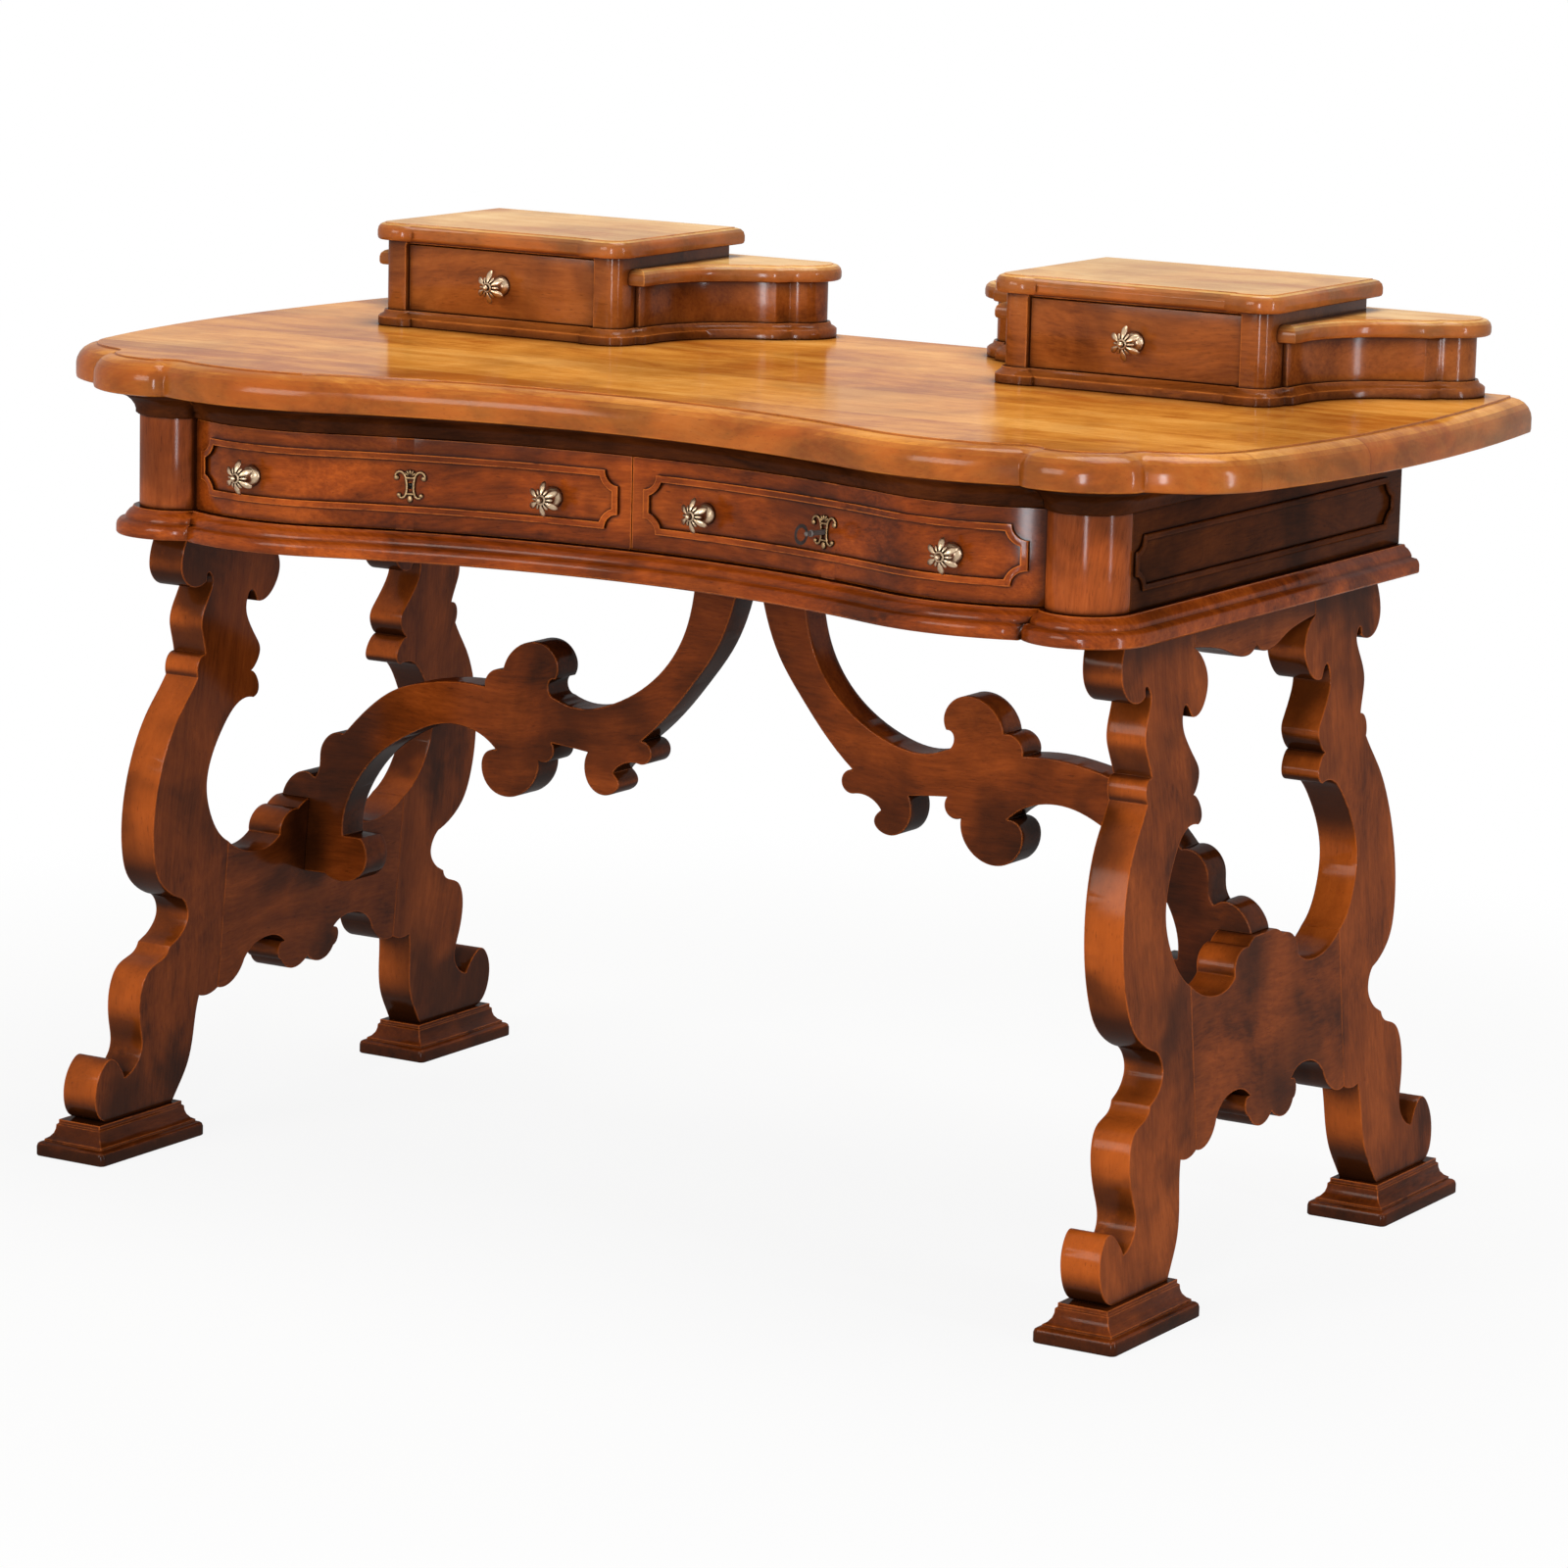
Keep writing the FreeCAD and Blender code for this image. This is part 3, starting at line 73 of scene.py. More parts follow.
Tone = tuple[int, int, int]
Triple = tuple[float, float, float]

LOG = logging.getLogger("writing_desk")
MM = 0.001
SIDES = {"left": -1, "right": 1}
# Vertices closer than this are welded, and edges that turn by fewer degrees than this are dissolved.
WELD = 0.02 * MM
FLAT_TURN = 0.4
# An edge that turns by more degrees than this is an arris.
SHARP_TURN = 32.0
# Fittings are rounder than boards, so only sharper edges break their shading.
METAL_SHARP_TURN = 40.0
# Faces across a rounded arris and across a rounded post.
ARRIS_SEGMENTS = 3
POST_SEGMENTS = 8
# Faces around and along a ball or a drop, and a ridge of a rosette.
BALL_FACES = {"u_segments": 20, "v_segments": 14}
LEAF_FACES = {"u_segments": 16, "v_segments": 12}
# Faces around a turned form, around a bent ring and around the wire of that ring.
TURNED_FACES = 32
RING_FACES = 36
WIRE_FACES = 14
# A face with more corners than this is a flat region of a board and is shaded flat.
FLAT_FACE_CORNERS = 10


def srgb(red: int, green: int, blue: int) -> tuple[float, float, float, float]:
    """Turn a colour written from 0 to 255 into the linear colour that shaders take.

    Args:
        red: Red of the finish as seen.
        green: Green of the finish as seen.
        blue: Blue of the finish as seen.

    Returns:
        The linear colour with full alpha.
    """
    linear = [
        ((tone / 255 + 0.055) / 1.055) ** 2.4 if tone > 10 else tone / 255 / 12.92
        for tone in (red, green, blue)]
    return (*linear, 1.0)


class Grain(Enum):
    """The direction the wood's fibres run, as the pattern's scale along X, Y and Z."""

    ALONG_X = (1.0, 9.0, 9.0)
    ALONG_Y = (9.0, 1.0, 9.0)
    ALONG_Z = (9.0, 9.0, 1.0)


@dataclass(frozen=True)
class Pattern:
    """A noise: its features for each metre, its finer layers, their strength, and its twist.

    Where only part of it shows, it shows from the strength low and is full from the strength high.
    """

    scale: float
    detail: float = 3.0
    rough: float = 0.5
    twist: float = 0.0
    low: float = 0.0
    high: float = 1.0


DRIFT = Pattern(3.1, 2.0)
FIGURE = Pattern(2.6, 5.0, 0.6, 0.9)
FIBRE = Pattern(34.0, 5.0, 0.7)
PATCH = Pattern(5.5, 5.0, 0.62, 0.8)
CLOUD = Pattern(7.5, 3.0, 0.52, 0.4, low=0.43, high=0.68)
DAPPLE = Pattern(13.0, 4.0, 0.6, 0.4, low=0.30, high=0.68)
FLECK = Pattern(90.0, 2.0, low=0.64, high=0.72)
PATCHINESS = Pattern(38.0, 4.0, 0.6)
SHEEN = Pattern(16.0)
PITS = Pattern(55.0, 3.0, 0.55, 0.6, low=0.40, high=0.26)
JOINT_GAPS = Pattern(14.0, 3.0, 0.6, low=0.42, high=0.60)
SPECKS = Pattern(420.0, 3.0, 0.6, low=0.45, high=0.7)
# Shares of the figure, the fibres and the patches in the tone of the wood.
TONE_SHARES = (0.34, 0.24, 0.42)
# Strengths at which each thing starts to show and at which it is full.
MIDDLE_TONE = (0.36, 0.52)
LIGHT_TONE = (0.48, 0.66)
SAWN_FACE = (0.9, 0.3)
STEEP_FACE = (0.985, 0.55)
# Painted shade on faces that look down.
PAINTED_UNDER_SHADE = (0.06, -0.5)
# Creases darkened partly as dirt and partly as painted shade.
CREASE_DIRT_AND_SHADE = (0.12, 0.42)
WORN_EDGE = (0.015, 0.12)
# Patchiness of the hollows darkened as dirt and painted shade, and of the rubbed edges.
HOLLOW_PATCHINESS = (0.1, 0.5)
EDGE_PATCHINESS = (0.30, 0.52)
METAL_HOLLOW = (0.05, 0.36)


class ShaderGraph:
    """A small builder for the nodes of one material."""

    def __init__(self, name: str) -> None:
        """Start an empty material with its output and its surface shader.

        Args:
            name: Name of the new material.
        """
        self.material = bpy.data.materials.new(name)
        self.material.use_nodes = True
        self.tree = self.material.node_tree
        self.tree.nodes.clear()
        self.surface = self.node("ShaderNodeBsdfPrincipled")
        self.output = self.node("ShaderNodeOutputMaterial")
        self.tree.links.new(self.surface.outputs["BSDF"], self.output.inputs["Surface"])
        self.objects = self.node("ShaderNodeTexCoord").outputs["Object"]

    def node(self, kind: str, **settings: Any) -> bpy.types.Node:
        """Add a node and set its properties.

        Args:
            kind: Blender's name for the node type.
            settings: Properties of the node by name.

        Returns:
            The new node.
        """
        node = self.tree.nodes.new(kind)
        for key, value in settings.items():
            setattr(node, key, value)
        return node

    def feed(self, socket: Socket, value: Any) -> None:
        """Link a socket to another, or set its value.

        Args:
            socket: Input to fill.
            value: An output socket, a number, a vector or a colour.
        """
        if isinstance(value, Socket):
            self.tree.links.new(value, socket)
        else:
            socket.default_value = value

    def fill(self, node: bpy.types.Node, values: dict[str | int, Any]) -> None:
        """Set or link several inputs of a node.

        Args:
            node: Node to fill.
            values: What to feed to each input, by its name or number.
        """
        for name, value in values.items():
            self.feed(node.inputs[name], value)

    def scaled(self, vector: Any, scale: Triple) -> Socket:
        """Stretch coordinates by a factor along each axis.

        Args:
            vector: Coordinates to stretch.
            scale: Factor along X, Y and Z.

        Returns:
            The stretched coordinates.
        """
        mapping = self.node("ShaderNodeMapping")
        self.fill(mapping, {"Vector": vector, "Scale": scale})
        return mapping.outputs["Vector"]

    def noise(self, vector: Any, pattern: Pattern) -> Socket:
        """Add a noise pattern.

        Args:
            vector: Coordinates of the pattern.
            pattern: The noise to add.

        Returns:
            The pattern's strength from 0 to 1.
        """
        node = self.node("ShaderNodeTexNoise")
        self.fill(node, {
            "Vector": vector, "Scale": pattern.scale, "Detail": pattern.detail,
            "Roughness": pattern.rough, "Distortion": pattern.twist})
        return node.outputs["Fac"]

    def patches(self, vector: Any, pattern: Pattern) -> Socket:
        """Add the part of a noise pattern that shows.

        Args:
            vector: Coordinates of the pattern.
            pattern: The noise to add, with its low and high strengths.

        Returns:
            0 where the pattern doesn't show and 1 where it is full.
        """
        return self.ramp(self.noise(vector, pattern), pattern.low, pattern.high)

    def ramp(self, factor: Any, low: float, high: float) -> Socket:
        """Stretch a factor so that low becomes 0 and high becomes 1, softly.

        Args:
            factor: Value to stretch.
            low: Value that becomes 0.
            high: Value that becomes 1.

        Returns:
            The stretched factor.
        """
        node = self.node("ShaderNodeMapRange", interpolation_type="SMOOTHSTEP")
        self.fill(node, {"Value": factor, "From Min": low, "From Max": high})
        return node.outputs["Result"]

    def sum(self, operation: str, first: Any, second: Any = 0.0) -> Socket:
        """Work out one value from one or two others.

        Args:
            operation: Blender's name for the operation.
            first: First value.
            second: Second value, where the operation has one.

        Returns:
            The result.
        """
        node = self.node("ShaderNodeMath", operation=operation)
        self.fill(node, {0: first, 1: second})
        return node.outputs["Value"]

    def mix(self, factor: Any, first: Any, second: Any) -> Socket:
        """Mix two colours.

        Args:
            factor: Share of the second colour.
            first: Colour at factor 0.
            second: Colour at factor 1.

        Returns:
            The mixed colour.
        """
        node = self.node("ShaderNodeMix", data_type="RGBA", blend_type="MIX")
        self.fill(node, {0: factor, 6: first, 7: second})
        return node.outputs[2]

    def tint(self, colour: Any, factor: Any, share: float, tone: Tone) -> Socket:
        """Lay a tone over a colour.

        Args:
            colour: Colour underneath.
            factor: Where the tone lies, from 0 to 1.
            share: Strength of the tone where it lies.
            tone: Tone written from 0 to 255.

        Returns:
            The tinted colour.
        """
        return self.mix(self.sum("MULTIPLY", factor, share), colour, srgb(*tone))

    def recess(self, reach: float) -> Socket:
        """Find the hollows of a piece, where wood is darkened as gathered dirt and as painted shade,
        and metal as tarnish.

        Args:
            reach: How wide a hollow counts.

        Returns:
            1 in the deepest corners and 0 in the open.
        """
        node = self.node("ShaderNodeAmbientOcclusion", samples=8)
        node.inputs["Distance"].default_value = reach
        return self.sum("SUBTRACT", 1.0, node.outputs["AO"])

    def arris(self, radius: float) -> tuple[Socket, Socket]:
        """Find the edges of a piece, where the finish wears.

        Args:
            radius: Width of the worn band.

        Returns:
            The edge strength, and the normal rounded over the edges.
        """
        bevel = self.node("ShaderNodeBevel", samples=6)
        bevel.inputs["Radius"].default_value = radius
        flat = self.node("ShaderNodeNewGeometry")
        dot = self.node("ShaderNodeVectorMath", operation="DOT_PRODUCT")
        self.fill(dot, {0: bevel.outputs["Normal"], 1: flat.outputs["Normal"]})
        edge = self.sum("SUBTRACT", 1.0, dot.outputs["Value"])
        return edge, bevel.outputs["Normal"]

    def facing(self, axis: str, normal: str = "True Normal") -> Socket:
        """Find how far the surface faces along one axis.

        Args:
            axis: X, Y or Z.
            normal: Which of Blender's normals to read.

        Returns:
            1 facing along the axis, 0 across it and -1 against it.
        """
        split = self.node("ShaderNodeSeparateXYZ")
        self.feed(split.inputs["Vector"], self.node("ShaderNodeNewGeometry").outputs[normal])
        return split.outputs[axis]

    def outline_faces(self) -> Socket:
        """Find the sawn outlines of boards that stand across X."""
        return self.ramp(self.sum("ABSOLUTE", self.facing("X")), *SAWN_FACE)

    def steep_faces(self) -> Socket:
        """Find the moulded edges of a top, where it falls away from level."""
        return self.ramp(self.facing("Z"), *STEEP_FACE)

    def painted_under_shade_mask(self) -> Socket:
        """Find the faces that look down, where shade is painted."""
        return self.ramp(self.facing("Z", "Normal"), *PAINTED_UNDER_SHADE)

    def bump(self, height: Any, depth: float, normal: Any = None) -> Socket:
        """Raise or sink the surface by a pattern.

        Args:
            height: Pattern of heights from 0 to 1.
            depth: Height of the pattern in metres.
            normal: Normal to start from.

        Returns:
            The bumped normal.
        """
        node = self.node("ShaderNodeBump")
        self.fill(node, {"Distance": depth, "Height": height})
        if normal is not None:
            self.feed(node.inputs["Normal"], normal)
        return node.outputs["Normal"]


@dataclass(frozen=True)
class WoodFinish:
    """A stained and waxed wood, with its figure, wear, dirt and painted shade."""

    name: str
    dark: Tone
    middle: Tone
    light: Tone
    # The darkest tone: real stain patches and flecks, and the colour of the painted shade in hollows
    # and under faces.
    stain_and_shade: Tone
    worn: Tone
    roughness: float = 0.38
    coat: float = 0.20
    coat_roughness: float = 0.15
    blotch: float = 0.55
    fleck: float = 0.4
    wear: float = 0.8
    worn_width: float = 2.4 * MM
    # Darkening of the hollows, partly dirt and partly painted shade: its strength, the reach of the
    # fine creases and of the wide hollows, and where it is full.
    dirt_and_shade: float = 0.9
    crease_reach: float = 4.5 * MM
    hollow: float = 20.0 * MM
    hollow_full: float = 0.46
    # Darkening of faces that look down: painted shade.
    painted_under_shade: float = 0.0
    sawn: float = 0.0
    rim: float = 0.0
    rim_dark: Tone = (104, 46, 12)
    rim_light: Tone = (162, 79, 24)
    board: float = 0.0
    board_start: float = 20.37
    joint_width: float = 2.2 * MM
    dents: float = 0.5 * MM

    def figure(self, graph: ShaderGraph, grain: Grain) -> tuple[Socket, Socket]:
        """Draw the fibres and the figure of the wood.

        Args:
            graph: Graph of the material.
            grain: Direction of the fibres.

        Returns:
            The tone from 0 to 1, and the fine fibres alone.
        """
        drift = graph.node("ShaderNodeVectorMath", operation="ADD")
        swing = graph.sum("MULTIPLY", graph.noise(graph.objects, DRIFT), 0.10)
        graph.fill(drift, {0: graph.objects, 1: swing})
        along = graph.scaled(drift.outputs["Vector"], grain.value)
        fibre = graph.noise(along, FIBRE)
        layers = (graph.noise(along, FIGURE), fibre, graph.noise(graph.objects, PATCH))
        wide, fine, patch = (
            graph.sum("MULTIPLY", layer, share) for layer, share in zip(layers, TONE_SHARES))
        return graph.sum("ADD", graph.sum("ADD", wide, fine), patch), fibre

    def boards(self, graph: ShaderGraph, tone: Socket) -> tuple[Any, Any]:
        """Split a top into boards glued side by side, each a little lighter or darker.

        Args:
            graph: Graph of the material.
            tone: Tone of the wood from 0 to 1.

        Returns:
            The tone of the boards, and the thin joints between them.
        """
        split = graph.node("ShaderNodeSeparateXYZ")
        graph.feed(split.inputs["Vector"], graph.objects)
        boards = graph.sum("DIVIDE", split.outputs["Y"], self.board)
        place = graph.sum("ADD", boards, self.board_start)
        number = graph.sum("FLOOR", place)
        chance = graph.node("ShaderNodeTexWhiteNoise", noise_dimensions="1D")
        graph.feed(chance.inputs["W"], number)
        change = graph.sum("MULTIPLY", graph.sum("SUBTRACT", chance.outputs["Value"], 0.5), 0.09)
        within = graph.sum("SUBTRACT", place, number)
        across = graph.sum("ABSOLUTE", graph.sum("SUBTRACT", within, 0.5))
        joint = graph.ramp(across, 0.5 - self.joint_width / 2 / self.board, 0.5)
        joint = graph.sum("MULTIPLY", joint, graph.patches(graph.objects, JOINT_GAPS))
        return graph.sum("ADD", tone, change), graph.sum("MULTIPLY", joint, 0.6)

    def stained(self, graph: ShaderGraph, tone: Any, grain: Grain) -> Socket:
        """Colour the figure and lay the uneven stain over it.

        Args:
            graph: Graph of the material.
            tone: Tone of the wood from 0 to 1.
            grain: Direction of the fibres.

        Returns:
            The colour before dirt and wear.
        """
        colour = graph.mix(graph.ramp(tone, *MIDDLE_TONE), srgb(*self.dark), srgb(*self.middle))
        colour = graph.mix(graph.ramp(tone, *LIGHT_TONE), colour, srgb(*self.light))
        if self.sawn:
            colour = graph.tint(colour, graph.outline_faces(), self.sawn, self.worn)
        colour = graph.tint(colour, graph.patches(graph.objects, CLOUD), self.blotch, self.stain_and_shade)
        if self.rim:
            dapple = graph.patches(graph.scaled(graph.objects, (1.0, 1.0, 2.0)), DAPPLE)
            edge_tone = graph.mix(dapple, srgb(*self.rim_dark), srgb(*self.rim_light))
            steep = graph.sum("MULTIPLY", graph.steep_faces(), self.rim)
            colour = graph.mix(steep, colour, edge_tone)
        fleck = graph.patches(graph.scaled(graph.objects, grain.value), FLECK)
        return graph.tint(colour, fleck, self.fleck, self.stain_and_shade)

    def aged(self, graph: ShaderGraph, colour: Socket, joint: Any) -> tuple[Socket, Socket]:
        """Darken the hollows as dirt and painted shade and the undersides as painted shade, and rub the
        arrises bright.

        Args:
            graph: Graph of the material.
            colour: Colour of the stained wood.
            joint: The joints between boards, which count as hollows.

        Returns:
            The aged colour, and the normal rounded over the arrises.
        """
        # Hollows and creases are darkened, partly as dirt and partly as painted shade.
        patchiness = graph.noise(graph.objects, PATCHINESS)
        wide = graph.sum("MULTIPLY", graph.recess(self.hollow), graph.ramp(patchiness, *HOLLOW_PATCHINESS))
        wide = graph.sum("MULTIPLY", graph.ramp(wide, 0.06, self.hollow_full), 0.8)
        fine = graph.ramp(graph.recess(self.crease_reach), *CREASE_DIRT_AND_SHADE)
        hollow = graph.sum("MAXIMUM", wide, graph.sum("MAXIMUM", fine, joint))
        colour = graph.tint(colour, hollow, self.dirt_and_shade, self.stain_and_shade)
        # Faces that look down are darkened as painted shade.
        if self.painted_under_shade:
            colour = graph.tint(colour, graph.painted_under_shade_mask(), self.painted_under_shade, self.stain_and_shade)
        edge, rounded = graph.arris(self.worn_width)
        rub = graph.sum("MULTIPLY", graph.ramp(edge, *WORN_EDGE), graph.ramp(patchiness, *EDGE_PATCHINESS))
        rub = graph.sum("MULTIPLY", rub, graph.sum("SUBTRACT", 1.0, fine))
        return graph.tint(colour, rub, self.wear, self.worn), rounded

    def material(self, grain: Grain) -> Material:
        """Make the finish for pieces whose fibres run one way, once for each way.

        Args:
            grain: Direction of the fibres.

        Returns:
            The material.
        """
        name = f"{self.name}_{grain.name.lower()}"
        made = bpy.data.materials.get(name)
        if made:
            return made
        graph = ShaderGraph(name)
        tone, fibre = self.figure(graph, grain)
        joint = 0.0
        if self.board:
            tone, joint = self.boards(graph, tone)
        colour, rounded = self.aged(graph, self.stained(graph, tone, grain), joint)
        sheen = graph.sum("MULTIPLY", graph.noise(graph.objects, SHEEN), 0.20)
        pits = graph.sum("MULTIPLY", graph.patches(graph.objects, PITS), 0.7)
        relief = graph.sum("SUBTRACT", graph.sum("MULTIPLY", fibre, 0.3), pits)
        relief = graph.sum("SUBTRACT", relief, joint)
        graph.fill(graph.surface, {
            "Base Color": colour,
            "Roughness": graph.sum("ADD", sheen, self.roughness - 0.08),
            "Specular IOR Level": 0.0,
            "Coat Weight": self.coat,
            "Coat Roughness": self.coat_roughness,
            "Normal": graph.bump(relief, self.dents, rounded)})
        return graph.material


@dataclass(frozen=True)
class MetalFinish:
    """A worn metal, bright where hands rub it and dark in its hollows."""

    name: str
    bright: Tone
    tarnish: Tone
    roughness: float
    hollow: float = 6.0 * MM
    scratches: float = 0.1 * MM

    def material(self) -> Material:
        """Make the finish once and return it."""
        made = bpy.data.materials.get(self.name)
        if made:
            return made
        graph = ShaderGraph(self.name)
        hollow = graph.ramp(graph.recess(self.hollow), *METAL_HOLLOW)
        speck = graph.patches(graph.objects, SPECKS)
        aged = graph.sum("ADD", hollow, graph.sum("MULTIPLY", speck, 0.3))
        graph.fill(graph.surface, {
            "Base Color": graph.mix(aged, srgb(*self.bright), srgb(*self.tarnish)),
            "Metallic": 1.0,
            "Roughness": graph.sum("ADD", graph.sum("MULTIPLY", speck, 0.15), self.roughness),
            "Normal": graph.bump(speck, self.scratches)})
        return graph.material


TOP_WOOD = WoodFinish(
    "honey_top", (162, 90, 26), (200, 132, 52), (226, 164, 84), (92, 40, 12), (226, 140, 52),
    roughness=0.36, coat=0.34, blotch=0.32, wear=0.75, dirt_and_shade=0.95, rim=0.8, board=0.16)
# The slabs' honey wood is painted paler and less saturated than the top's: a painted reflection of a
# bright window on them.
SLAB_WOOD_PAINTED_SHEEN = WoodFinish(
    "slab_painted_sheen", (174, 112, 50), (204, 154, 86), (224, 184, 120), (98, 48, 18), (230, 150, 70),
    roughness=0.34, coat=0.36, blotch=0.25, wear=0.7, dirt_and_shade=0.95, rim=0.85)
CASE_WOOD = WoodFinish(
    "case_stain", (66, 26, 6), (128, 54, 12), (178, 84, 24), (32, 12, 3), (230, 122, 42), blotch=0.68,
    hollow_full=0.36, painted_under_shade=0.35, coat=0.27)
# A much darker copy of the case's stain: on the side panels it is partly their own stain and partly
# painted shade, and on the cornice it is painted shadow under the top's overhang.
SHADED_SIDE_WOOD = WoodFinish(
    "side_painted_shade", (40, 17, 5), (70, 32, 10), (96, 46, 15), (22, 9, 3), (160, 84, 30), blotch=0.6,
    coat=0.07)
BOX_WOOD = WoodFinish(
    "box_stain", (92, 44, 14), (140, 74, 27), (168, 96, 40), (48, 22, 8), (226, 132, 56), blotch=0.5,
    coat=0.28)
LEG_WOOD = WoodFinish(
    "leg_stain", (76, 32, 9), (124, 57, 18), (160, 78, 28), (36, 15, 5), (206, 100, 32), blotch=0.8,
    sawn=0.34, hollow=55.0 * MM, hollow_full=0.21, painted_under_shade=0.92, coat=0.16)
BRACE_WOOD = WoodFinish(
    "brace_stain", (60, 26, 7), (104, 45, 12), (138, 64, 20), (32, 14, 4), (200, 100, 34), blotch=0.7,
    hollow=48.0 * MM, hollow_full=0.22, painted_under_shade=0.85, coat=0.16)
# The posts' stain is painted lighter than the case's, partly as the painted highlight that the rounded
# posts catch.
POST_WOOD = WoodFinish(
    "post_stain_and_highlight", (90, 38, 12), (152, 72, 27), (182, 94, 42), (40, 16, 6), (222, 124, 50),
    blotch=0.65)
INNER_WOOD = WoodFinish(
    "inner_wood", (150, 108, 66), (176, 132, 84), (196, 154, 104), (110, 74, 42), (190, 150, 104),
    roughness=0.6, coat=0.0, blotch=0.2, wear=0.2, dirt_and_shade=0.5)
FITTINGS = MetalFinish("antique_fittings", (192, 166, 136), (64, 42, 28), 0.28)
PLATE_BRONZE = MetalFinish("plate_bronze", (150, 122, 88), (52, 36, 22), 0.42)
LOCK_STEEL = MetalFinish("lock_steel", (150, 146, 138), (70, 62, 52), 0.4)
KEY_IRON = MetalFinish("key_iron", (96, 90, 96), (38, 34, 36), 0.38)


@dataclass(frozen=True)
class UprightCorners:
    """Upright edges at chosen places that are rounded into columns."""

    places: tuple[tuple[float, float], ...]
    rounding: float
    reach: float = 1.5 * MM

    def covers(self, edge: bmesh.types.BMEdge) -> bool:
        """Tell whether an edge stands upright at one of the places.

        Args:
            edge: Edge of the mesh being built.

        Returns:
            Whether it is rounded.
        """
        first, last = (vert.co for vert in edge.verts)
        flat = (first.xy - last.xy).length
        if flat > self.reach or len(edge.link_faces) != 2:
            return False
        return any((first.xy - Vector(place)).length < self.reach for place in self.places)


class Workshop:
    """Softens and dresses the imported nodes."""

    def __init__(self, frame: dict[str, Any]) -> None:
        """Note which body and slot each node has.
        """
        self.nodes = frame["nodes"]
        record = frame["record"]
        self.home = {
            node: body for body, names in record["behaviour"]["bodies"].items() for node in names}
        self.slots = {row["node"]: row["material_slot"] for row in record["subparts"]}

    def softened(
        self, node: str, material: Material, arris: float = 0.0,
        upright: UprightCorners | None = None
    ) -> bpy.types.Object:
        """Replace a node with a merged copy whose arrises are rounded over.

        Args:
            node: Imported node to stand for.
            material: Finish of the copy.
            arris: Width of the rounding, or 0 for none.
            upright: Upright corners that are rounded more, if any.

        Returns:
            The new piece.
        """
        mesh = bmesh.new()
        mesh.from_mesh(self.nodes[node].data)
        bmesh.ops.remove_doubles(mesh, verts=mesh.verts, dist=WELD)
        bmesh.ops.dissolve_limit(
            mesh, angle_limit=math.radians(FLAT_TURN), use_dissolve_boundaries=False,
            verts=mesh.verts, edges=mesh.edges)
        if upright:
            posts = [edge for edge in mesh.edges if upright.covers(edge)]
            self.rounded(mesh, posts, upright.rounding, POST_SEGMENTS)
        if arris:
            limit = math.radians(SHARP_TURN)
            edges = [
                edge for edge in mesh.edges
                if len(edge.link_faces) == 2 and edge.calc_face_angle(0.0) > limit]
            self.rounded(mesh, edges, arris, ARRIS_SEGMENTS)
        piece = self.finished(mesh, node + "_wood", material)
        self.stand_for(piece, node)
        return piece

    @staticmethod
    def rounded(mesh: BMesh, edges: list[bmesh.types.BMEdge], width: float, segments: int) -> None:
        """Round edges over.

        Args:
            mesh: Mesh being built.
            edges: Edges to round.
            width: Width of the rounding on each side.
            segments: Faces across the rounding.
        """
        bmesh.ops.bevel(
            mesh, geom=edges, offset=width, offset_type="OFFSET", segments=segments, profile=0.5,
            affect="EDGES", clamp_overlap=True, material=-1)

    def finished(
        self, mesh: BMesh, name: str, material: Material, sharp: float = SHARP_TURN
    ) -> bpy.types.Object:
        """Turn a mesh being built into a smooth-shaded object of the scene.

        Args:
            mesh: Mesh being built, which is freed.
            name: Name of the piece.
            material: Finish of the piece.
            sharp: Angle in degrees above which shading breaks.

        Returns:
            The new object.
        """
        data = bpy.data.meshes.new(name)
        mesh.to_mesh(data)
        mesh.free()
        data.shade_smooth()
        data.set_sharp_from_angle(angle=math.radians(sharp))
        for polygon in data.polygons:
            if len(polygon.vertices) > FLAT_FACE_CORNERS:
                polygon.use_smooth = False
        data.materials.append(material)
        piece = bpy.data.objects.new(name, data)
        bpy.context.scene.collection.objects.link(piece)
        return piece

    def stand_for(self, piece: bpy.types.Object, node: str) -> None:
        """Let a piece ride with a node's body and replace that node.

        Args:
            piece: New piece.
            node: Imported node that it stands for.
        """
        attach(piece, self.home[node])
        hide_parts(node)

    def dressed(self, node: str, material: Material) -> None:
        """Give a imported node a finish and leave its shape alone.

        Args:
            node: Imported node.
            material: Its finish.
        """
        materials = self.nodes[node].data.materials
        materials.clear()
        materials.append(material)


def turned(mesh: BMesh, outline: list[tuple[float, float]]) -> None:
    """Turn an outline into a round shape about the Z axis.

    Args:
        mesh: Mesh to build in.
        outline: Distances from the axis with their levels.
    """
    verts = [mesh.verts.new((out, 0.0, level)) for out, level in outline]
    edges = [mesh.edges.new(pair) for pair in zip(verts, verts[1:])]
    bmesh.ops.spin(
        mesh, geom=verts + edges, cent=(0, 0, 0), axis=(0, 0, 1), angle=math.tau,
        steps=TURNED_FACES, use_merge=True)
    bmesh.ops.remove_doubles(mesh, verts=mesh.verts, dist=WELD / 2)
    bmesh.ops.recalc_face_normals(mesh, faces=mesh.faces)


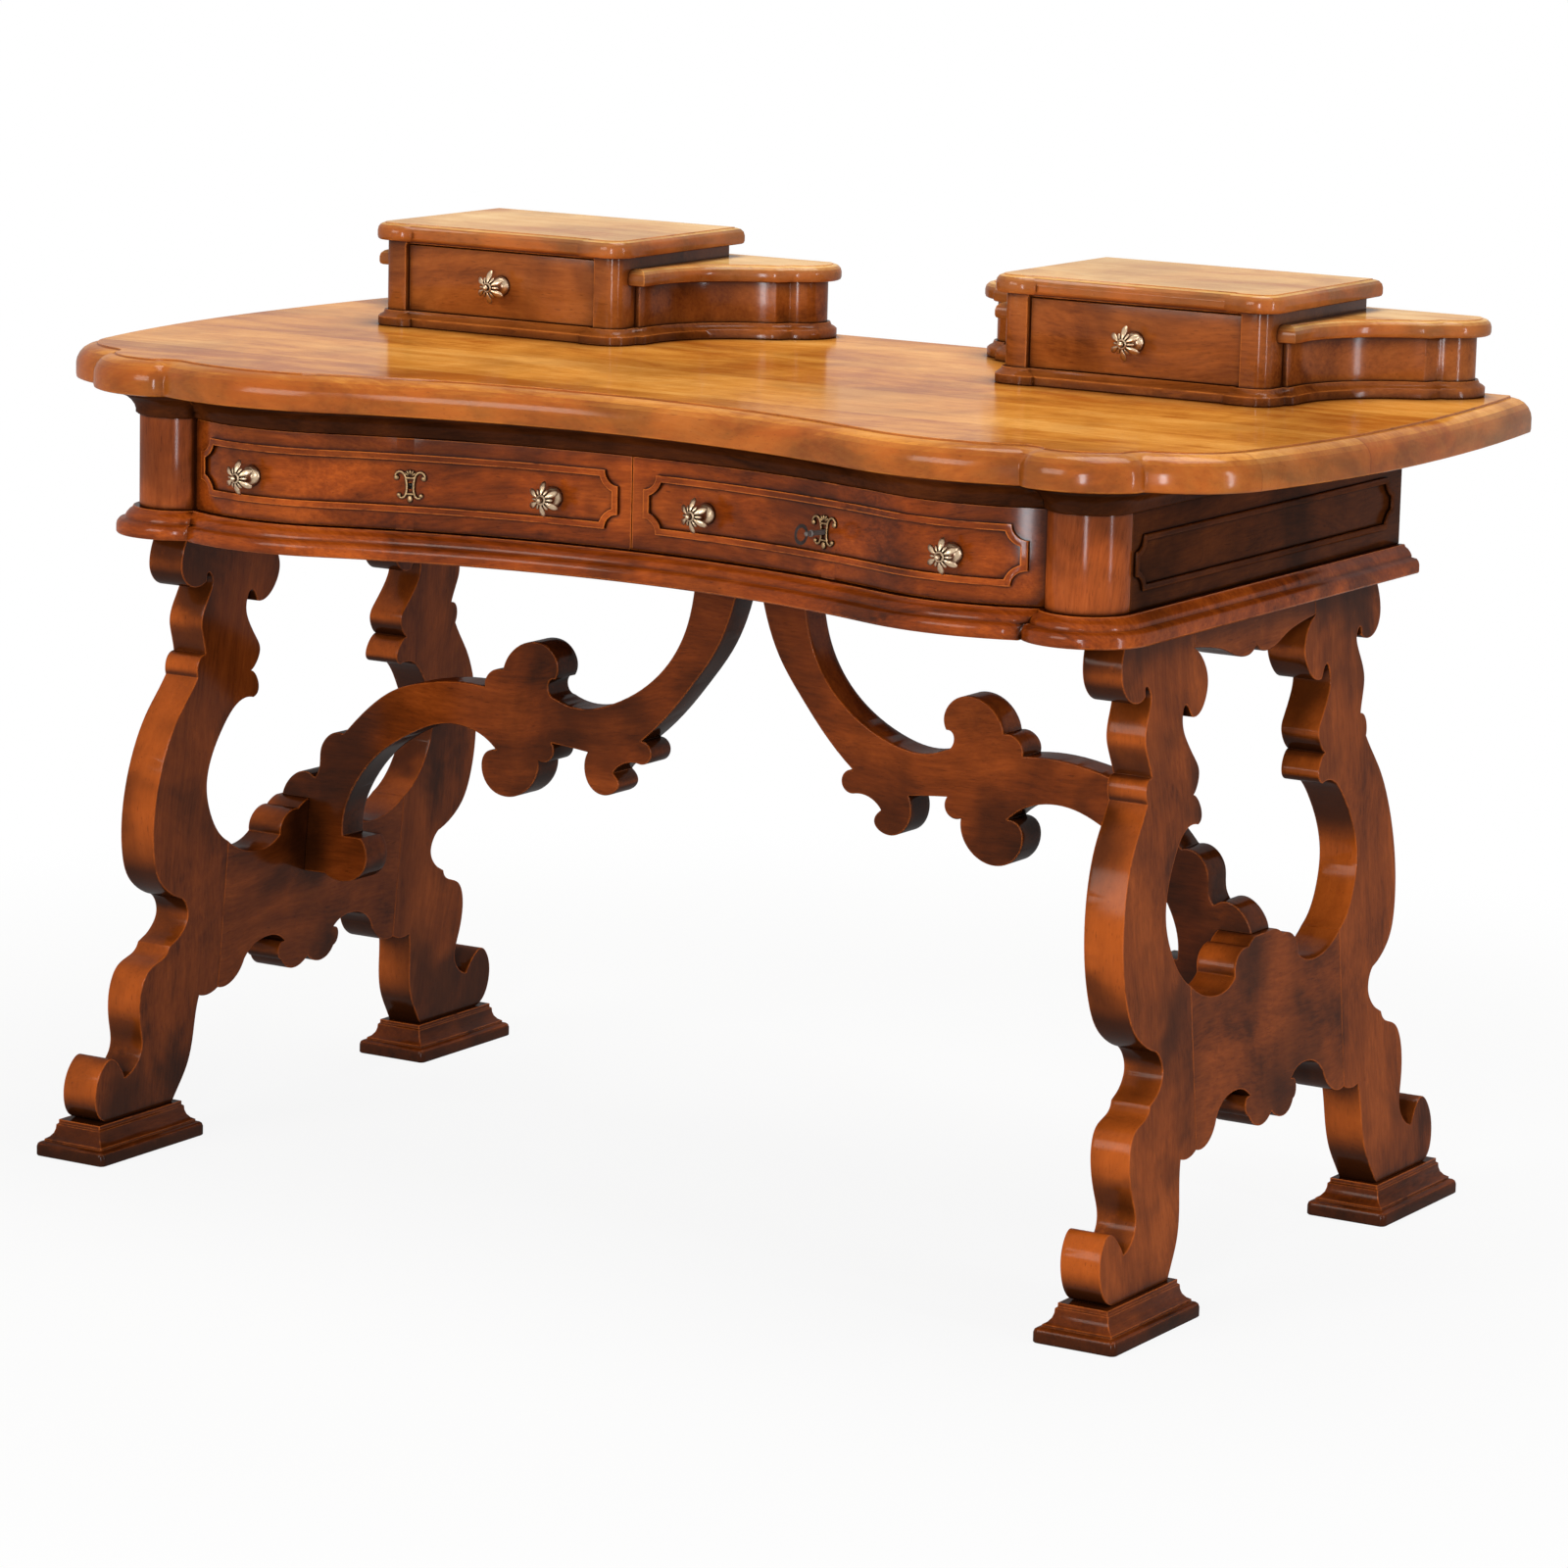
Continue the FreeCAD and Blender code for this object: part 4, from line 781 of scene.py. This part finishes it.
def strip(
    mesh: BMesh, points: list[tuple[float, float]], radius: float, level: float, flat: float
) -> None:
    """Lay a smooth strip of scrollwork through points of the plane Z = 0.

    Args:
        mesh: Mesh to build in.
        points: Places that the strip passes.
        radius: Half its width.
        level: Height of its middle.
        flat: Its thickness as a share of its width.
    """
    data = bpy.data.curves.new("strip", "CURVE")
    data.dimensions = "3D"
    data.bevel_depth = radius
    data.bevel_resolution = 4
    data.use_fill_caps = True
    spline = data.splines.new("BEZIER")
    spline.bezier_points.add(len(points) - 1)
    for point, (x, y) in zip(spline.bezier_points, points):
        point.co = (x, y, 0.0)
        point.handle_left_type = point.handle_right_type = "AUTO"
    holder = bpy.data.objects.new("strip", data)
    known = set(mesh.verts)
    mesh.from_mesh(holder.to_mesh())
    holder.to_mesh_clear()
    bpy.data.objects.remove(holder)
    bpy.data.curves.remove(data)
    for vert in mesh.verts:
        if vert not in known:
            vert.co.z = level + vert.co.z * flat


def drop(mesh: BMesh, place: Triple, size: Triple, around: float = 0.0) -> None:
    """Add an egg-shaped drop.

    Args:
        mesh: Mesh to build in.
        place: Its middle.
        size: Its full size along X, Y and Z before it is turned.
        around: Turn about the Z axis.
    """
    turn = Matrix.Rotation(around, 4, "Z")
    matrix = Matrix.Translation(place) @ turn @ Matrix.Diagonal((*size, 1.0))
    bmesh.ops.create_uvsphere(mesh, **BALL_FACES, radius=0.5, matrix=matrix)


@dataclass(frozen=True)
class FrontCurve:
    """The serpentine face of the drawers, as seen from above."""

    hollow_radius: float = 817 * MM
    swell_radius: float = 183 * MM
    swell_x: float = 369.98 * MM
    swell_y: float = -115 * MM

    def place(self, across: float, level: float) -> Matrix:
        """Find the place and heading of something fixed on the face.

        Args:
            across: Distance from the middle of the desk, less than 0 on the left.
            level: Height above the floor.

        Returns:
            A matrix at the face whose Z axis points out of it and whose Y axis points up.
        """
        side = math.copysign(1.0, across)
        reach = abs(across)
        joined = self.hollow_radius + self.swell_radius
        hollow_y = self.swell_y - math.sqrt(joined ** 2 - self.swell_x ** 2)
        if reach < self.hollow_radius * self.swell_x / joined:
            depth = hollow_y + math.sqrt(self.hollow_radius ** 2 - reach ** 2)
            angle = -math.asin(reach / self.hollow_radius)
        else:
            from_crest = reach - self.swell_x
            depth = self.swell_y - math.sqrt(self.swell_radius ** 2 - from_crest ** 2)
            angle = math.asin(from_crest / self.swell_radius)
        turn = Matrix.Rotation(side * angle, 4, "Z") @ Matrix.Rotation(math.pi / 2, 4, "X")
        return Matrix.Translation((across, depth, level)) @ turn


@dataclass(frozen=True)
class Leaf:
    """One ridge of a rosette: where it starts and ends, and how wide and thick it is."""

    start: float
    end: float
    width: float
    height: float


@dataclass
class Knob:
    """A knob: a round foot and neck, a rosette of six ridged petals and a ball in its middle."""

    radius: float = 16.8 * MM
    reach: float = 30.8 * MM
    foot_radius: float = 10.0 * MM
    neck_radius: float = 4.6 * MM
    ball_radius: float = 2.6 * MM
    petals: int = 6
    petal: Leaf = Leaf(3.4 * MM, 16.8 * MM, 5.8 * MM, 3.8 * MM)
    between: Leaf = Leaf(3.6 * MM, 11.0 * MM, 2.8 * MM, 2.6 * MM)
    tip_level: float = 18.0 * MM
    crown_level: float = 25.2 * MM
    crown_ring: tuple[tuple[float, float], ...] = (
        (3.2, 24.4), (4.7, 24.7), (4.9, 25.7), (4.0, 26.5), (2.6, 26.4))

    def turned_core(self, mesh: BMesh) -> None:
        """Turn the foot, the neck and the slim cup behind the petals."""
        foot, neck, cup = self.foot_radius, self.neck_radius, self.radius
        turned(mesh, [
            (0.0, 0.0), (foot, 0.0), (foot, 0.9 * MM), (0.93 * foot, 2.6 * MM), (0.74 * foot, 4.4 * MM),
            (0.55 * foot, 5.6 * MM), (neck, 7.6 * MM), (0.9 * neck, 11.0 * MM), (1.2 * neck, 14.0 * MM),
            (0.33 * cup, 16.4 * MM), (0.40 * cup, 17.8 * MM), (0.42 * cup, 19.2 * MM),
            (0.38 * cup, 21.2 * MM), (0.28 * cup, 23.4 * MM), (0.0, 24.4 * MM)])

    def ridge(self, mesh: BMesh, around: float, leaf: Leaf) -> None:
        """Add one leaf-shaped ridge that widens and falls back towards its tip.

        Args:
            mesh: Mesh being built.
            around: Direction of the ridge about the axis.
            leaf: Its size.
        """
        made = bmesh.ops.create_uvsphere(mesh, **LEAF_FACES, radius=0.5)["verts"]
        length = leaf.end - leaf.start
        drop_back = self.crown_level - self.tip_level
        for vert in made:
            along = vert.co.x + 0.5
            swell = 0.42 + 0.75 * math.sin(along * math.pi * 0.62) ** 1.5
            fall = drop_back * ((leaf.start + along * length) / self.radius) ** 1.6
            vert.co = Vector((
                vert.co.x * length + (leaf.start + leaf.end) / 2,
                vert.co.y * leaf.width * swell,
                vert.co.z * leaf.height + self.crown_level - fall))
        bmesh.ops.rotate(
            mesh, cent=(0, 0, 0), matrix=Matrix.Rotation(around, 3, "Z"), verts=made)

    def build(self, mesh: BMesh) -> None:
        """Build the whole knob standing up from the origin.

        Args:
            mesh: Mesh to build in.
        """
        self.turned_core(mesh)
        step = math.tau / self.petals
        for index in range(self.petals):
            around = math.pi / 2 + index * step
            self.ridge(mesh, around, self.petal)
            self.ridge(mesh, around + step / 2, self.between)
        turned(mesh, [(out * MM, level * MM) for out, level in self.crown_ring])
        ball = bmesh.ops.create_uvsphere(mesh, **BALL_FACES, radius=self.ball_radius)["verts"]
        bmesh.ops.translate(mesh, vec=(0, 0, self.reach - self.ball_radius), verts=ball)


@dataclass
class Escutcheon:
    """A keyhole plate: two scrolls back to back, a leaf above and a drop below."""

    wire: float = 1.15 * MM
    flat: float = 0.9
    level: float = 1.1 * MM
    scroll: tuple[tuple[float, float], ...] = (
        (11.0, -9.0), (9.2, -11.0), (6.0, -10.4), (3.9, -6.4), (3.3, -1.0), (3.9, 5.0), (5.6, 10.4),
        (9.4, 13.2), (13.0, 12.0), (14.4, 8.4), (12.6, 6.8))
    scroll_ends: tuple[tuple[float, ...], ...] = (
        (13.4, 7.6, 5.2, 5.0, 3.6), (10.8, -8.6, 4.4, 4.2, 3.2))
    bars: tuple[float, float] = (7.6, -7.4)
    bar_reach: float = 4.2 * MM
    leaf: tuple[Triple, ...] = (
        (0.0, 13.0, 0.0), (-2.2, 12.6, 0.5), (2.2, 12.6, -0.5), (-3.6, 11.2, 0.95), (3.6, 11.2, -0.95))
    leaf_size: Triple = (2.2 * MM, 5.0 * MM, 2.8 * MM)
    tail_y: float = -12.0 * MM
    tail_size: Triple = (5.0 * MM, 7.0 * MM, 3.0 * MM)

    def build(self, mesh: BMesh) -> None:
        """Build the plate on the plane Z = 0 with the keyhole at the origin.

        Args:
            mesh: Mesh to build in.
        """
        for side in (-1, 1):
            self.wired(mesh, [(side * x * MM, y * MM) for x, y in self.scroll])
            for x, y, *size in self.scroll_ends:
                place = (side * x * MM, y * MM, self.level)
                drop(mesh, place, tuple(length * MM for length in size))
        for y in self.bars:
            self.wired(mesh, [(-self.bar_reach, y * MM), (self.bar_reach, y * MM)])
        for x, y, around in self.leaf:
            drop(mesh, (x * MM, y * MM, self.level), self.leaf_size, around)
        drop(mesh, (0.0, self.tail_y, self.level), self.tail_size)

    def wired(self, mesh: BMesh, points: list[tuple[float, float]]) -> None:
        """Lay the plate's wire through points.

        Args:
            mesh: Mesh being built.
            points: Places that the wire passes.
        """
        strip(mesh, points, self.wire, self.level, self.flat)


@dataclass
class Key:
    """The iron key: a shank, a collar and an oval ring."""

    shank_radius: float = 2.3 * MM
    reach: float = 22.0 * MM
    depth: float = 14.5 * MM
    ring_along: float = 8.5 * MM
    ring_up: float = 9.5 * MM
    wire: float = 1.7 * MM
    bit_width: float = 2.0 * MM
    bit_reach: float = 8.0 * MM
    bit_low: float = -14.0 * MM
    bit_high: float = -8.6 * MM

    def build(self, mesh: BMesh) -> None:
        """Build the key along the Z axis, its ring out beyond the reach.

        Args:
            mesh: Mesh to build in.
        """
        shank, top = self.shank_radius, self.reach
        collar = shank * 1.35
        turned(mesh, [
            (0.0, -self.depth), (shank, -self.depth), (shank, top - 7.0 * MM),
            (collar, top - 6.4 * MM), (collar, top - 4.6 * MM), (shank, top - 4.0 * MM),
            (shank * 0.9, top + 1.0 * MM), (0.0, top + 1.2 * MM)])
        middle = self.reach + self.ring_along - self.wire
        across = self.ring_up - self.wire
        made = bmesh.ops.create_circle(
            mesh, segments=WIRE_FACES, radius=self.wire,
            matrix=Matrix.Translation((0, across, 0)) @ Matrix.Rotation(math.pi / 2, 4, "Y"))["verts"]
        edges = list({edge for vert in made for edge in vert.link_edges})
        before = set(mesh.verts) - set(made)
        bmesh.ops.spin(
            mesh, geom=made + edges, cent=(0, 0, 0), axis=(1, 0, 0), angle=math.tau,
            steps=RING_FACES, use_merge=True)
        ring = [vert for vert in mesh.verts if vert not in before]
        along = (self.ring_along - self.wire) / across
        bmesh.ops.scale(mesh, vec=(1.0, 1.0, along), verts=ring)
        bmesh.ops.translate(mesh, vec=(0, 0, middle), verts=ring)
        size = (self.bit_width, self.bit_reach, self.bit_high - self.bit_low)
        place = (0.0, -self.bit_reach / 2, (self.bit_low + self.bit_high) / 2)
        bmesh.ops.create_cube(
            mesh, size=1.0, matrix=Matrix.Translation(place) @ Matrix.Diagonal((*size, 1.0)))


@dataclass
class Fittings:
    """The knobs, the keyhole plates and the key, each at its place on the drawers."""

    level: float = 676.5 * MM
    knob_places: tuple[float, float] = (83.26 * MM, 376.97 * MM)
    keyhole: float = 224.02 * MM
    small_x: float = 351.5 * MM
    small_y: float = 77.0 * MM
    small_level: float = 828.0 * MM

    def build(self, shop: Workshop) -> None:
        """Build the fittings of every drawer.

        Args:
            shop: Workshop that makes the pieces.
        """
        curve = FrontCurve()
        metal = FITTINGS.material()
        bronze = PLATE_BRONZE.material()
        forward = Matrix.Rotation(math.pi / 2, 4, "X")
        for name, side in SIDES.items():
            knobs = [curve.place(side * across, self.level) for across in self.knob_places]
            self.fitted(shop, f"{name}_drawer_knobs", Knob(), knobs, metal)
            plate = [curve.place(side * self.keyhole, self.level)]
            self.fitted(shop, f"{name}_drawer_escutcheon", Escutcheon(), plate, bronze)
            small = Matrix.Translation((side * self.small_x, self.small_y, self.small_level))
            self.fitted(shop, f"{name}_organizer_knob", Knob(), [small @ forward], metal)
        place = [curve.place(self.keyhole, self.level)]
        self.fitted(shop, "key", Key(), place, KEY_IRON.material())

    def fitted(
        self, shop: Workshop, node: str, maker: Knob | Escutcheon | Key, places: list[Matrix],
        metal: Material
    ) -> None:
        """Build one node's fittings and move them to their places.

        Args:
            shop: Workshop that makes the piece.
            node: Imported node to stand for.
            maker: What builds one fitting at the origin.
            places: Matrix of each fitting.
            metal: Finish of the piece.
        """
        whole = bmesh.new()
        for place in places:
            single = bmesh.new()
            maker.build(single)
            single.transform(place)
            data = bpy.data.meshes.new("fitting")
            single.to_mesh(data)
            single.free()
            whole.from_mesh(data)
            bpy.data.meshes.remove(data)
        piece = shop.finished(whole, node + "_metal", metal, METAL_SHARP_TURN)
        shop.stand_for(piece, node)


@dataclass
class Trestles:
    """The two carved trestles with their feet and braces."""

    arris: float = 3.2 * MM
    foot_arris: float = 1.2 * MM

    def build(self, shop: Workshop) -> None:
        """Round over and dress every board.

        Args:
            shop: Workshop that makes the pieces.
        """
        upright = LEG_WOOD.material(Grain.ALONG_Z)
        across = LEG_WOOD.material(Grain.ALONG_Y)
        blocks = BRACE_WOOD.material(Grain.ALONG_Y)
        lengthwise = BRACE_WOOD.material(Grain.ALONG_X)
        parts = (
            ("front_leg", upright, self.arris), ("rear_leg", upright, self.arris),
            ("centre_board", across, self.arris), ("top_rail", across, self.arris),
            ("front_foot", blocks, self.foot_arris), ("rear_foot", blocks, self.foot_arris),
            ("brace", lengthwise, self.arris))
        for side in SIDES:
            for part, material, arris in parts:
                shop.softened(f"{side}_{part}", material, arris)


@dataclass
class Case:
    """The serpentine case, its mouldings and the desk top."""

    arris: float = 1.0 * MM
    bead_arris: float = 2.4 * MM

    def build(self, shop: Workshop) -> None:
        """Dress the case and the top.

        Args:
            shop: Workshop that makes the pieces.
        """
        lengthwise = CASE_WOOD.material(Grain.ALONG_X)
        # The side panels and beads take the darker side wood, which is partly painted shade.
        deep = SHADED_SIDE_WOOD.material(Grain.ALONG_Y)
        # The posts take the lighter post wood, which is partly a painted highlight.
        upright = POST_WOOD.material(Grain.ALONG_Z)
        shop.softened("desk_top", TOP_WOOD.material(Grain.ALONG_X))
        # The cornice takes the dark side wood as painted shadow under the top's overhang.
        shop.softened("cornice_moulding", SHADED_SIDE_WOOD.material(Grain.ALONG_X))
        for node in ("base_moulding", "case_bottom"):
            shop.softened(node, lengthwise)
        for node in ("back_panel", "centre_divider", "drawer_guides"):
            shop.dressed(node, lengthwise)
        for side in SIDES:
            shop.softened(f"{side}_corner_post", upright, self.arris)
            shop.softened(f"{side}_side_panel", deep, self.arris)
            shop.softened(f"{side}_side_bead", deep, self.bead_arris)


@dataclass
class Organizers:
    """The two small organizers on the desk top."""

    arris: float = 1.0 * MM
    middle_x: float = 351.5 * MM
    post_x: float = 110.0 * MM
    post_y: float = 72.0 * MM
    post_rounding: float = 9.0 * MM

    def build(self, shop: Workshop) -> None:
        """Dress both organizers.

        Args:
            shop: Workshop that makes the pieces.
        """
        # The slabs take the wood with the painted reflection.
        top = SLAB_WOOD_PAINTED_SHEEN.material(Grain.ALONG_X)
        lengthwise = BOX_WOOD.material(Grain.ALONG_X)
        for side, sign in SIDES.items():
            for part in ("top", "wing_tops"):
                shop.softened(f"{side}_organizer_{part}", top)
            middle = sign * self.middle_x
            places = tuple((middle + hand * self.post_x, self.post_y) for hand in (-1, 1))
            posts = UprightCorners(places, self.post_rounding)
            shop.softened(f"{side}_organizer_carcass", lengthwise, self.arris, upright=posts)
            for part in ("wing_walls", "drawer"):
                shop.softened(f"{side}_organizer_{part}", lengthwise, self.arris)
            shop.softened(f"{side}_organizer_base", lengthwise)


@dataclass
class Drawers:
    """The two main drawers with their fittings."""

    arris: float = 1.0 * MM
    bead_arris: float = 2.4 * MM

    def build(self, shop: Workshop) -> None:
        """Dress the drawers.

        Args:
            shop: Workshop that makes the pieces.
        """
        lengthwise = CASE_WOOD.material(Grain.ALONG_X)
        inner = INNER_WOOD.material(Grain.ALONG_X)
        inner_deep = INNER_WOOD.material(Grain.ALONG_Y)
        steel = LOCK_STEEL.material()
        plain = {"back": inner, "sides": inner_deep, "bottom": inner, "lock": steel, "bolt": steel}
        for side in SIDES:
            shop.softened(f"{side}_drawer_front", lengthwise, self.arris)
            shop.softened(f"{side}_drawer_bead", lengthwise, self.bead_arris)
            for part, material in plain.items():
                shop.dressed(f"{side}_drawer_{part}", material)


@dataclass(frozen=True)
class Viewpoint:
    """The photograph's camera."""

    azimuth: float = 31.03
    elevation: float = 10.68
    roll: float = 1.41
    position: Triple = (2.8717, -4.7194, 1.4259)
    focal_share: float = 3.7565
    sensor: float = 36.0

    def build(self) -> None:
        """Make the camera and set it as the scene's."""
        around, above, turn = (math.radians(a) for a in (self.azimuth, self.elevation, self.roll))
        back = Vector((
            math.sin(around) * math.cos(above), -math.cos(around) * math.cos(above), math.sin(above)))
        right = Vector((math.cos(around), math.sin(around), 0.0))
        up = back.cross(right)
        columns = Matrix((
            right * math.cos(turn) + up * math.sin(turn),
            up * math.cos(turn) - right * math.sin(turn),
            back)).transposed()
        data = bpy.data.cameras.new("photo_camera")
        data.sensor_width = self.sensor
        data.lens = self.sensor * self.focal_share
        camera = bpy.data.objects.new("photo_camera", data)
        camera.matrix_world = Matrix.Translation(self.position) @ columns.to_4x4()
        bpy.context.scene.collection.objects.link(camera)
        bpy.context.scene.camera = camera


@dataclass(frozen=True)
class Lamp:
    """A flat studio lamp aimed at a point of the desk."""

    name: str
    place: Triple
    width: float
    height: float
    power: float
    colour: Triple = (1.0, 1.0, 1.0)
    aim: Triple = (0.0, 0.0, 0.5)

    def build(self) -> None:
        """Make the lamp."""
        data = bpy.data.lights.new(self.name, "AREA")
        data.shape = "RECTANGLE"
        data.size = self.width
        data.size_y = self.height
        data.energy = self.power
        data.color = self.colour
        lamp = bpy.data.objects.new(self.name, data)
        lamp.location = self.place
        toward = Vector(self.aim) - Vector(self.place)
        lamp.rotation_euler = toward.to_track_quat("-Z", "Y").to_euler()
        bpy.context.scene.collection.objects.link(lamp)


@dataclass
class Studio:
    """The pale floor, the white surroundings and the soft lamps."""

    floor_size: float = 60.0
    floor_colour: Tone = (205, 205, 205)
    shadow_near: float = 0.9
    shadow_far: float = 1.8
    white_share: float = 0.90
    soft_light: float = 0.17
    lamps: tuple[Lamp, ...] = (
        Lamp("key_lamp", (-1.4, -4.6, 2.4), 2.4, 1.8, 134.0, (1.0, 0.94, 0.86)),
        Lamp("top_lamp", (0.3, 0.6, 4.2), 2.6, 2.0, 132.0, (1.0, 0.97, 0.93)),
        Lamp("side_strip", (3.4, -0.5, 1.1), 0.22, 2.1, 42.0, (0.86, 0.92, 1.0), (0.0, 0.0, 0.8)),
        Lamp("front_strip", (1.75, -4.5, 1.1), 0.48, 2.1, 115.0, (0.90, 0.94, 1.0), (0.0, 0.0, 0.8)),
    )

    def build(self) -> None:
        """Make the floor, the world and the lamps."""
        self.make_floor()
        self.make_world()
        for lamp in self.lamps:
            lamp.build()

    def background_rays(self, tree: bpy.types.NodeTree) -> Socket:
        """Tell the rays that show the background from those that light the desk.

        Args:
            tree: Node tree to add to.

        Returns:
            1 for camera, glossy and transmission rays, else 0.
        """
        rays = tree.nodes.new("ShaderNodeLightPath")
        seen = rays.outputs["Is Camera Ray"]
        for other in ("Is Glossy Ray", "Is Transmission Ray"):
            either = tree.nodes.new("ShaderNodeMath")
            either.operation = "MAXIMUM"
            tree.links.new(seen, either.inputs[0])
            tree.links.new(rays.outputs[other], either.inputs[1])
            seen = either.outputs["Value"]
        return seen

    def make_floor(self) -> None:
        """Make a plain floor that keeps the desk's shadow and turns white further out."""
        mesh = bmesh.new()
        bmesh.ops.create_grid(mesh, x_segments=1, y_segments=1, size=self.floor_size / 2)
        data = bpy.data.meshes.new("floor")
        mesh.to_mesh(data)
        mesh.free()
        graph = ShaderGraph("pale_floor")
        graph.fill(graph.surface, {
            "Base Color": srgb(*self.floor_colour), "Roughness": 0.9, "Specular IOR Level": 0.0})
        away = graph.node("ShaderNodeVectorMath", operation="LENGTH")
        graph.feed(away.inputs[0], graph.objects)
        far = graph.ramp(away.outputs["Value"], self.shadow_near, self.shadow_far)
        white = graph.node("ShaderNodeEmission")
        white.inputs["Color"].default_value = (1.0, 1.0, 1.0, 1.0)
        mixer = graph.node("ShaderNodeMixShader")
        far = graph.sum("ADD", graph.sum("MULTIPLY", far, 1.0 - self.white_share), self.white_share)
        share = graph.sum("MULTIPLY", far, self.background_rays(graph.tree))
        lit, shown = graph.surface.outputs["BSDF"], white.outputs["Emission"]
        graph.fill(mixer, {0: share, 1: lit, 2: shown})
        graph.tree.links.new(mixer.outputs["Shader"], graph.output.inputs["Surface"])
        data.materials.append(graph.material)
        floor = bpy.data.objects.new("floor", data)
        bpy.context.scene.collection.objects.link(floor)

    def make_world(self) -> None:
        """Light everything softly, and show white to the camera and to reflections."""
        world = bpy.data.worlds.new("studio_air")
        world.use_nodes = True
        tree = world.node_tree
        background = tree.nodes["Background"]
        background.inputs["Color"].default_value = (1.0, 1.0, 1.0, 1.0)
        strength = tree.nodes.new("ShaderNodeMapRange")
        tree.links.new(self.background_rays(tree), strength.inputs["Value"])
        strength.inputs["To Min"].default_value = self.soft_light
        strength.inputs["To Max"].default_value = 1.0
        tree.links.new(strength.outputs["Result"], background.inputs["Strength"])
        bpy.context.scene.world = world


def main() -> None:
    """Load the frame, build each part of the desk and log each part as it is built."""
    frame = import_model()
    shop = Workshop(frame)
    for part in (Trestles(), Case(), Organizers(), Drawers(), Fittings()):
        part.build(shop)
        LOG.info("built %s", type(part).__name__)
    Studio().build()
    Viewpoint().build()
    bpy.context.scene.view_settings.view_transform = "Standard"


if __name__ == "__main__":
    logging.basicConfig(level=logging.INFO)
    main()
